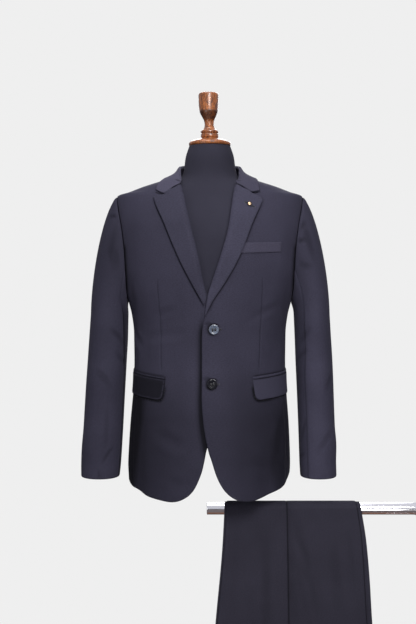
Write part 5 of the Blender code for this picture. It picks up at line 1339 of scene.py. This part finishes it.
def rail():
    """Upright, bend and level bar in one round tube, ending flat at its free end."""
    path = [(RAIL_POST_X, ON_FLANGE, 0.0, RAIL_R), (RAIL_POST_X, RAIL_Z - RAIL_BEND, 0.0, RAIL_R)]
    for k in range(1, 17):
        q = math.radians(90 * k / 16)
        x, z = RAIL_POST_X - RAIL_BEND * (1 - math.cos(q)), RAIL_Z - RAIL_BEND + RAIL_BEND * math.sin(q)
        path.append((x, z, q, RAIL_R))
    for back, cut in ((0.0016, 0), (0.0008, 0.0002), (0.0002, 0.0008), (0.0, 0.0016)):
        path.append((RAIL_END + back, RAIL_Z, math.pi / 2, RAIL_R - cut))
    turned = circle(40)
    points = [(x + radius * c * math.cos(q), RAIL_Y + radius * s, z + radius * c * math.sin(q))
              for x, z, q, radius in path for c, s in turned]
    made = piece("trouser_bar", points, tube_faces(len(path), len(turned)), CHROME, "rail")
    made.data.set_sharp_from_angle(angle=math.radians(40))


def plinth():
    """One board with rounded corners and an eased upper edge."""
    (x0, x1), (y0, y1), corner = PLINTH_X, PLINTH_Y, 0.030
    levels = [(0, 0.0006), (0.0008, 0), (PLINTH_TOP - 0.004, 0), (PLINTH_TOP - 0.0022, 0.0004),
              (PLINTH_TOP - 0.0008, 0.0014), (PLINTH_TOP - 0.0002, 0.0026), (PLINTH_TOP, 0.0040)]
    corners = ((x1, y1, -1, -1, 0), (x0, y1, 1, -1, 90), (x0, y0, 1, 1, 180), (x1, y0, -1, 1, 270))
    points = [(cx + sx * corner + (corner - inset) * math.cos(q), cy + sy * corner + (corner - inset) * math.sin(q), z)
              for z, inset in levels for cx, cy, sx, sy, start in corners
              for q in (math.radians(start + 9 * k) for k in range(11))]
    made = piece("plinth_board", points, tube_faces(len(levels), 44), BOARD, "plinth")
    made.data.set_sharp_from_angle(angle=math.radians(50))


dress_form()
# painted shade on the underside of the finial's cup, and a darker painted ring at its lower bead
made = lathe("wooden_finial", None, profile_curve(FINIAL, 90), 72, WOOD,
             painted_band=lambda z: 0.78 * ramp(z, 1.582, 1.590) * ramp(z, 1.611, 1.607) + 0.35 * bump(z, 1.5515, 0.0035))
for corner in made.data.vertices:
    corner.co.x -= FINIAL_LEAN * float(ramp(corner.co.z, 1.545, 1.620))
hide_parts("neck_finial")
lathe("stand_post", "form_post", [(ON_FLANGE, POST_R), (POST_TOP, POST_R)], 48, CHROME,
      centre=(POST_X, POST_Y, 0))
flange("stand_flange", "post_flange", POST_X, POST_Y, 0.045)
flange("bar_flange", "rail_flange", RAIL_POST_X, RAIL_Y, 0.040)
rail()
plinth()


# ---------------------------------------------------------------- trousers
front_edges, back_edges = ([smooth([r[0] for r in rows], [r[k] for r in rows]) for k in (1, 2, 3)]
                           for rows in (TROUSER_FRONT, TROUSER_BACK))


def drape(gap, drop_front, drop_back, flare=0.0, fine=64):
    """Path over the rail, as (distance from the fold, y, z, front?): up the front, over, down the back."""
    r = RAIL_R + gap
    arc = math.pi / 2 * r
    ends = [0.0, 0.0009 / (drop_front - arc), 0.0022 / (drop_front - arc)]
    line = []
    for s in ends + list(np.linspace(0, 1, fine)[1:]):
        d = arc + (drop_front - arc) * (1 - s)
        line.append((d, RAIL_Y - r - flare * (d - arc) / 0.5, RAIL_Z - (d - arc), True))
    for k in range(1, 28):
        t = math.pi * k / 28
        line.append((abs(t - math.pi / 2) * r, RAIL_Y - r * math.cos(t), RAIL_Z + r * math.sin(t), t < math.pi / 2))
    for s in list(np.linspace(0, 1, fine)[:-1]) + [1 - e for e in ends[::-1]]:
        d = arc + (drop_back - arc) * s
        line.append((d, RAIL_Y + r + flare * (d - arc) / 0.5, RAIL_Z - (d - arc), False))
    return line


def off_rail(y, z, front):
    """The way out of the draped cloth: away from the rail's middle above it, forwards or back below."""
    if z > RAIL_Z:
        return np.array(Vector((0, y - RAIL_Y, z - RAIL_Z)).normalized())
    return np.array([0, -1 if front else 1, 0.0])


def trouser_wave(x, d, front, creases=True):
    """How far the hanging cloth bellies out, more as it leaves the rail, with its drawn creases, and how deep their
    valleys are, for painted shade.
    """
    free = min(d / 0.25, 1.0)
    out = 0.0035 * bump(x, 0.105, 0.060) * bump(d, 0.24, 0.22) * free
    if front:
        out = out + 0.0055 * bump(x - 0.055 * d / 0.28, 0.190, 0.030) * bump(d, 0.26, 0.20) * free
        out = out + 0.0030 * bump(x, 0.300, 0.060) * free * bump(d, 0.36, 0.22)
    drawn = np.zeros(len(x))
    if creases:
        spots = np.stack([x, np.full(len(x), d)], 1)
        for which, x0, d0, x1, d1, bow, wide, deep in TROUSER_CREASES:
            if which == front:
                drawn += crease(spots, bowed(x0, d0, x1, d1, bow), wide, deep / 1000)
    return out + drawn, np.maximum(-drawn, 0) / 0.002


def trouser_panel(name, first):
    """One outer-leg panel, from the side seam to the crease, draped over the rail."""
    rows, shade = [], []
    for d, y, z, front in drape(LAYER_GAP, TROUSER_DROP - 0.040, TROUSER_DROP, TROUSER_FLARE):
        left, seam, right = (float(e(d)) for e in (front_edges if front else back_edges))
        lo, hi = (left, seam) if first else (seam, right)
        x = lo + (hi - lo) * spread(40, (0.004, 0.009, 0.016, 0.036))
        edge = (x - left) if first else (right - x)
        tuck = 0.0004 * np.exp(-edge / 0.0035) + 0.0002 * np.exp(-np.abs(x - seam) / 0.003)
        off = np.abs(x - seam)
        hollow = 0.0 if first else 0.0012 * np.exp(-((off - 0.007) / 0.006) ** 2) * min(d / 0.08, 1)
        wave, valley = trouser_wave(x, d, front)
        rows.append(np.stack([x, np.full(len(x), y), np.full(len(x), z)], -1)
                    + off_rail(y, z, front) * (wave - tuck - hollow)[:, None])
        # painted shade: dark lines along the side seam and both edges, in the crease valleys, and a soft band right of
        # the seam
        lines = 0.42 * np.exp(-off / 0.0016) + 0.50 * np.exp(-((x - right) / 0.0022) ** 2)
        lines = lines + 0.25 * np.exp(-((x - left) / 0.0016) ** 2)
        shade.append(lines + 0.30 * valley + (0.0 if first else 0.24 * np.exp(-off / 0.0085)))
    cloth_grid(name + "_cloth", name, rows, TROUSER_CLOTH, TROUSER_WOOL_PAINTED_DARKER,
               roll=0.0006, shade=np.array(shade))


def trouser_layers():
    """The legs' inner layers, doubled over one another, with their turned edges showing side by side."""
    turned = [(0.0008 * math.sin(math.pi * q), q) for q in (0.25, 0.5, 0.75)]
    path, points = drape(0.0005, TROUSER_DROP - 0.002, TROUSER_DROP - 0.004, 0.0, 40), []
    for d, y, z, front in path:
        edges, away = front_edges if front else back_edges, off_rail(y, z, front)
        lo = float(edges[0](d)) - 0.0035
        hi = float(edges[2](d)) + 0.0075 + (0.0040 if front else -0.002) * min(d / 0.2, 1)
        depth = 0.0018 + 0.0003 * min(d / 0.1, 1)

        def at(x, out):
            return np.array([0, y, z]) + np.array([x, 0, 0]) + away * out
        xs = np.linspace(lo, hi, 31)
        loop = [at(x, 0.0006 if k in (0, 30) else 0.0) for k, x in enumerate(xs)]
        loop += [at(hi + out - 0.0003, depth * q / 2) for out, q in turned] + [at(hi - 0.0012, depth * 0.5)]
        loop += [at(hi + out, depth * (1 + q) / 2) for out, q in turned]
        high = depth + 0.75 * trouser_wave(xs, d, front, False)[0]
        high[[0, 30]] -= 0.0004
        loop += [at(x, out) for x, out in zip(xs[::-1], high[::-1])]
        loop += [at(lo - out, depth * (1 + q) / 2) for out, q in turned[::-1]] + [at(lo + 0.0012, depth * 0.5)]
        loop += [at(lo - out, depth * q / 2) for out, q in turned[::-1]]
        points += loop
    points = np.array(points)
    piece("trouser_inner_cloth", points, tube_faces(len(path), len(loop)), TROUSER_WOOL_PAINTED_DARKER,
          "trouser_inner_layers", uv=points[:, [0, 2]])


def waistband():
    """The band below the front half's end, and two of its loops."""
    r = RAIL_R + LAYER_GAP
    arc, top, low = math.pi / 2 * r, TROUSER_DROP - 0.0397, TROUSER_DROP - 0.001
    rows = []
    for d in low - (low - top) * spread(12, (0.024, 0.058)):
        left, _, right = (float(e(d)) for e in front_edges)
        y = RAIL_Y - r - TROUSER_FLARE * (d - arc) / 0.5 - 0.0008
        x = left + (right - left) * spread(60, (0.0025, 0.006))
        rows.append(np.stack([x, np.full(len(x), y), np.full(len(x), RAIL_Z - (d - arc))], -1))
    cloth_grid("waistband_cloth", "waistband", rows, 0.0022, TROUSER_WOOL_PAINTED_DARKER,
               roll=0.0007)
    y, lo, hi = rows[0][0][1] - 0.0022, rows[0][0][2] + 0.004, rows[-1][0][2] - 0.003
    way = smooth([lo, lo + 0.005, (lo + hi) / 2, hi - 0.005, hi], [-0.0004, -0.0012, -0.0015, -0.0012, -0.0004])
    for k, x in enumerate(BELT_LOOPS, 1):
        xs = x + 0.005 * np.array([-1, -0.86, -0.6, -0.2, 0.2, 0.6, 0.86, 1])
        strip = [np.stack([xs, np.full(8, y + float(way(z))), np.full(8, z)], -1) for z in np.linspace(lo, hi, 22)]
        cloth_grid(f"belt_loop_cloth_{k}", f"belt_loop_{k}", strip, 0.0013, TROUSER_WOOL_PAINTED_DARKER,
                   roll=0.0004)


trouser_layers()
trouser_panel("trouser_front_panel", True)
trouser_panel("trouser_back_panel", False)
waistband()


# ---------------------------------------------------------------- hand sewing
def stitch_tree():
    """Geometry nodes: a short rounded stitch on every point, along the point's own direction."""
    tree = bpy.data.node_groups.new("hand stitches", "GeometryNodeTree")
    face, ids = tree.interface, {}
    face.new_socket("Places", in_out="INPUT", socket_type="NodeSocketGeometry")
    for label, kind, value in (("Length", "Float", 0.0018), ("Thickness", "Float", 0.0004),
                               ("Unevenness", "Float", 0.15), ("Seed", "Int", 0), ("Thread", "Material", None)):
        socket = face.new_socket(label, in_out="INPUT", socket_type="NodeSocket" + kind)
        if value:
            socket.default_value = value
        ids[label] = socket.identifier
    face.new_socket("Stitches", in_out="OUTPUT", socket_type="NodeSocketGeometry")

    def add(kind, **fed):
        """A new node; each value or output fills the socket of its name."""
        made = tree.nodes.new(kind)
        for socket, value in fed.items():
            if isinstance(value, bpy.types.NodeSocket):
                tree.links.new(value, made.inputs[socket])
            else:
                made.inputs[socket].default_value = value
        return made
    given, done = add("NodeGroupInput").outputs, add("NodeGroupOutput")
    bead = add("GeometryNodeMeshUVSphere", Segments=6, Rings=5, Radius=0.5)
    size = add("ShaderNodeCombineXYZ", X=given["Thickness"], Y=given["Thickness"], Z=given["Length"])
    shaped = add("GeometryNodeTransform", Geometry=bead.outputs["Mesh"], Scale=size.outputs[0])
    heading = add("GeometryNodeInputNamedAttribute", Name="heading")
    heading.data_type = "FLOAT_VECTOR"
    align = add("FunctionNodeAlignRotationToVector", Vector=heading.outputs["Attribute"])
    align.axis = "Z"
    least = add("ShaderNodeMath")
    least.operation = "SUBTRACT"
    least.inputs[0].default_value = 1.0
    tree.links.new(given["Unevenness"], least.inputs[1])
    chance = add("FunctionNodeRandomValue", Seed=given["Seed"])
    chance.data_type = "FLOAT"
    tree.links.new(least.outputs[0], chance.inputs[2])
    chance.inputs[3].default_value = 1.0
    points = add("GeometryNodeMeshToPoints", Mesh=given["Places"])
    put = add("GeometryNodeInstanceOnPoints", Points=points.outputs["Points"], Instance=shaped.outputs[0],
              Rotation=align.outputs[0], Scale=chance.outputs[1])
    real = add("GeometryNodeRealizeInstances", Geometry=put.outputs[0])
    paint = add("GeometryNodeSetMaterial", Geometry=real.outputs[0], Material=given["Thread"])
    tree.links.new(paint.outputs[0], done.inputs[0])
    return tree, ids


STITCHES, STITCH_INPUTS = stitch_tree()


def sew(name, places, headings, length, thickness, seed, uneven=0.15):
    """One row or group of stitches, made real."""
    seedbed = bpy.data.meshes.new(name + " places")
    seedbed.from_pydata([tuple(map(float, p)) for p in places], [], [])
    way = seedbed.attributes.new("heading", "FLOAT_VECTOR", "POINT")
    way.data.foreach_set("vector", np.asarray(headings, np.float32).ravel())
    source = put_in_scene(name + " places", seedbed)
    modifier = source.modifiers.new("hand stitches", "NODES")
    modifier.node_group = STITCHES
    for label, value in (("Length", length), ("Thickness", thickness), ("Unevenness", uneven), ("Seed", seed),
                         ("Thread", THREAD)):
        modifier[STITCH_INPUTS[label]] = value
    mesh = bpy.data.meshes.new_from_object(source.evaluated_get(bpy.context.evaluated_depsgraph_get()))
    bpy.data.objects.remove(source)
    mesh.name = name
    finished(name, mesh, THREAD)


def laid(places, high):
    """Plan places put on the body, `high` above it."""
    return on_body(np.degrees(places[:, 0] / ROUND), places[:, 1], high)


def along_edge(line, inset, spacing, lift):
    """Stitch places inside an edge of a panel plan, and the way each stitch points, on the body."""
    line = np.array(through(line, spacing))
    way = unit(np.stack([np.gradient(line[:, 0]), np.gradient(line[:, 1])], 1))
    row = line + np.stack([-way[:, 1], way[:, 0]], 1) * inset
    high = height_over(lift, row)
    here, there = laid(row, high), laid(row + way * 0.001, high)
    return here, unit(there - here)


def pick_stitches(name, runs, spacing, length, seed):
    """Fine hand stitches along edges; a run is (line, inset, lift, how many to leave out at each end)."""
    places, headings = [], []
    for line, inset, lift, bare in runs:
        for found, kept in zip(along_edge(line, inset, spacing, lift), (places, headings)):
            kept.append(found[bare:len(found) - bare])
    sew(name, np.vstack(places), np.vstack(headings), length, PICK_THICK, seed)


edges = [(plan_xz(LAPELS[side][part]), -side * 0.0024, lapel_stand[side], 1) for side, _ in SIDES for part in (2, 1)]
edges += [(plan_xz(FRONT_EDGES[1][:-2]), 0.0026, 0.0003, 1), (plan_xz(FRONT_EDGES[-1][7:-2]), -0.0026, 0.0001, 1)]
pick_stitches("edge_pick_stitches", edges, 0.0062, 0.0016, 3)

edges = []
for side, ring in flap_rings.items():
    top = max(v for _, v in ring)
    edges.append(([p for p in ring if p[1] < top - 0.012], 0.0028 * side, 0.0027, 0))
edges.append((plan_xz(WELT[:2]), -0.0022, 0.0022, 1))
pick_stitches("pocket_pick_stitches", edges, 0.0056, 0.0015, 5)


def buttonhole(name, a, b, lift, seed):
    """A keyhole buttonhole: close purl stitches round a slit, an eyelet at one end and a bar tack at the other."""
    a, b = np.array(plan_xz([a, b]))
    length, eye = np.linalg.norm(b - a), 0.0017
    way = (b - a) / length
    side = np.array([-way[1], way[0]])
    spots = [(a + way * s + side * k * 0.00105, side) for s in np.arange(eye * 0.8, length, 0.00046) for k in (-1, 1)]
    rays = [way * math.cos(q) + side * math.sin(q) for q in np.radians(np.arange(50, 311, 15))]
    spots += [(a + ray * eye, ray) for ray in rays]
    spots += [(b + side * k * 0.6 + way * 0.0003, side) for k in np.linspace(-0.0017, 0.0017, 7)]
    spots, heads = np.array(spots).transpose(1, 0, 2)
    here, there = (laid(p, height_over(lift, p) + 0.00012) for p in (spots, spots + heads * 0.001))
    sew(name, here, unit(there - here), 0.0019, 0.00046, seed, uneven=0.08)


buttonhole("buttonhole_upper", (1.5, 1100.5), (25.5, 1101.0), 0.0006, 11)
buttonhole("buttonhole_lower", (-1.5, 978.0), (22.0, 978.5), 0.0006, 12)
buttonhole("buttonhole_lapel", *LAPEL_HOLE, lapel_stand[1], 13)

# waistband top stitches and belt-loop tacks
band_low, band_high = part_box("waistband")
loop_low, loop_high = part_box("belt_loop_1")
left, _, right = (float(e(TROUSER_DROP - 0.02)) for e in front_edges)
places = [(x, band_low.y + 0.0001, z) for z in (band_high.z - 0.0025, band_low.z + 0.0025)
          for x in np.arange(left + 0.004, right - 0.004, 0.0045)]
headings = [(1, 0, 0)] * len(places)
places += [(x + dx, loop_low.y + 0.0006, z) for x in BELT_LOOPS for z in (loop_high.z - 0.0028, loop_low.z + 0.0028)
           for dx in np.linspace(-0.0042, 0.0042, 9)]
headings += [(0.25, 0, 1)] * (len(places) - len(headings))
sew("waistband_stitches", places, headings, 0.0026, 0.0004, 21)


# ---------------------------------------------------------------- studio
def floor_look():
    """Matt pale floor that melts into the pale surroundings away from the plinth, and throws little light back."""
    look = Look("studio floor", FLOOR, 0.9)
    far = look.node("ShaderNodeVectorMath", [(0, look.place())], operation="LENGTH").outputs["Value"]
    seen = look.node("ShaderNodeLightPath").outputs["Is Camera Ray"]
    look.join(look.mixed(seen, FLOOR_BOUNCE, FLOOR), "Base Color")
    glow = look.node("ShaderNodeEmission", Color=(*BACKDROP, 1.0)).outputs[0]
    blend = look.node("ShaderNodeMixShader", [(0, look.maths("MULTIPLY", look.ranged(far, 0.75, 1.60), seen)),
                                              (1, look.shader.outputs[0]), (2, glow)])
    look.tree.links.new(blend.outputs[0], look.tree.nodes["Material Output"].inputs["Surface"])
    return look.made


disc = bmesh.new()
bmesh.ops.create_circle(disc, cap_ends=True, radius=9.0, segments=96)
disc_mesh = bpy.data.meshes.new("studio_floor")
disc.to_mesh(disc_mesh)
disc.free()
disc_mesh.materials.append(floor_look())
floor = put_in_scene("studio_floor", disc_mesh)
floor.location = (0.12, 0, -0.0004)

for made in bpy.data.objects:
    if made.name.startswith(("front_cloth", "side_cloth", "back_cloth", "jersey_form")):
        made.visible_glossy = False

world = bpy.data.worlds.new("studio air")
bpy.context.scene.world = world
world.use_nodes = True


def studio_air(tree):
    """An even pale backdrop to the eye, dim overhead light on cloth, a tent with a dark gap for polished things."""
    new, link = tree.nodes.new, tree.links.new
    air, seen, tent = tree.nodes["Background"], new("ShaderNodeBackground"), new("ShaderNodeBackground")
    path, where, split = new("ShaderNodeLightPath"), new("ShaderNodeTexCoord"), new("ShaderNodeSeparateXYZ")
    link(where.outputs["Generated"], split.inputs[0])
    over = new("ShaderNodeMapRange")
    over.interpolation_type = "SMOOTHSTEP"
    for key, value in zip(("From Min", "From Max", "To Min", "To Max"), AIR):
        over.inputs[key].default_value = value
    link(split.outputs["Z"], over.inputs["Value"])
    link(over.outputs[0], air.inputs["Strength"])
    air.inputs["Color"].default_value = (0.95, 0.95, 1.0, 1)
    seen.inputs["Color"].default_value = (*BACKDROP, 1)
    bands = new("ShaderNodeValToRGB")
    stops = bands.color_ramp.elements
    for stop, place, colour in ((stops[0], 0.0, (0.30, 0.20, 0.19)), (stops[1], 1.0, (0.78, 0.78, 0.84))):
        stop.position, stop.color = place, (*colour, 1)
    for place, colour in TENT:
        stops.new(place).color = (*colour, 1)
    half = new("ShaderNodeMapRange")
    half.inputs["From Min"].default_value = -1.0
    link(split.outputs["Z"], half.inputs["Value"])
    link(half.outputs[0], bands.inputs["Fac"])
    link(bands.outputs["Color"], tent.inputs["Color"])
    polished, eye = new("ShaderNodeMixShader"), new("ShaderNodeMixShader")
    for mix, fed in ((polished, (path.outputs["Is Glossy Ray"], air.outputs[0], tent.outputs[0])),
                     (eye, (path.outputs["Is Camera Ray"], polished.outputs[0], seen.outputs[0]))):
        for socket, output in enumerate(fed):
            link(output, mix.inputs[socket])
    link(eye.outputs[0], tree.nodes["World Output"].inputs["Surface"])


studio_air(world.node_tree)


def softbox(name, at, aim, size, watts, colour=(1, 1, 1), fan=180):
    light = bpy.data.lights.new(name, "AREA")
    light.shape, light.energy, light.color, light.spread = "RECTANGLE", watts, colour, math.radians(fan)
    light.size, light.size_y = size
    lamp = put_in_scene(name, light)
    lamp.location = at
    lamp.rotation_euler = (Vector(aim) - Vector(at)).to_track_quat("-Z", "Y").to_euler()


softbox("key softbox", (0.42, -2.10, 2.00), (0.05, 0, 1.20), (0.75, 0.75), 39, (1.0, 0.99, 0.98))
softbox("fill softbox", (-1.4, -1.9, 0.75), (-0.05, 0, 0.95), (1.2, 1.2), 11, (0.98, 0.99, 1.0))
softbox("low softbox", (0.35, -1.25, 0.34), (0.14, 0, 0.66), (0.5, 0.5), 0.5, (0.98, 0.99, 1.0), 64)
softbox("overhead softbox", (-0.1, -0.45, 3.0), (0.0, 0.0, 1.2), (1.2, 0.9), 20)
softbox("back softbox", (0.2, 2.6, 2.4), (0, 0, 1.1), (1.6, 1.6), 40)

lens = bpy.data.cameras.new("camera")
lens.lens, lens.sensor_width, lens.sensor_fit = 74.3, 36.0, "AUTO"
camera = put_in_scene("camera", lens)
camera.location, camera.rotation_euler = (-0.0042, -3.0, 1.14), (math.pi / 2, 0, 0)
bpy.context.scene.camera = camera
bpy.context.scene.view_settings.view_transform = "Standard"
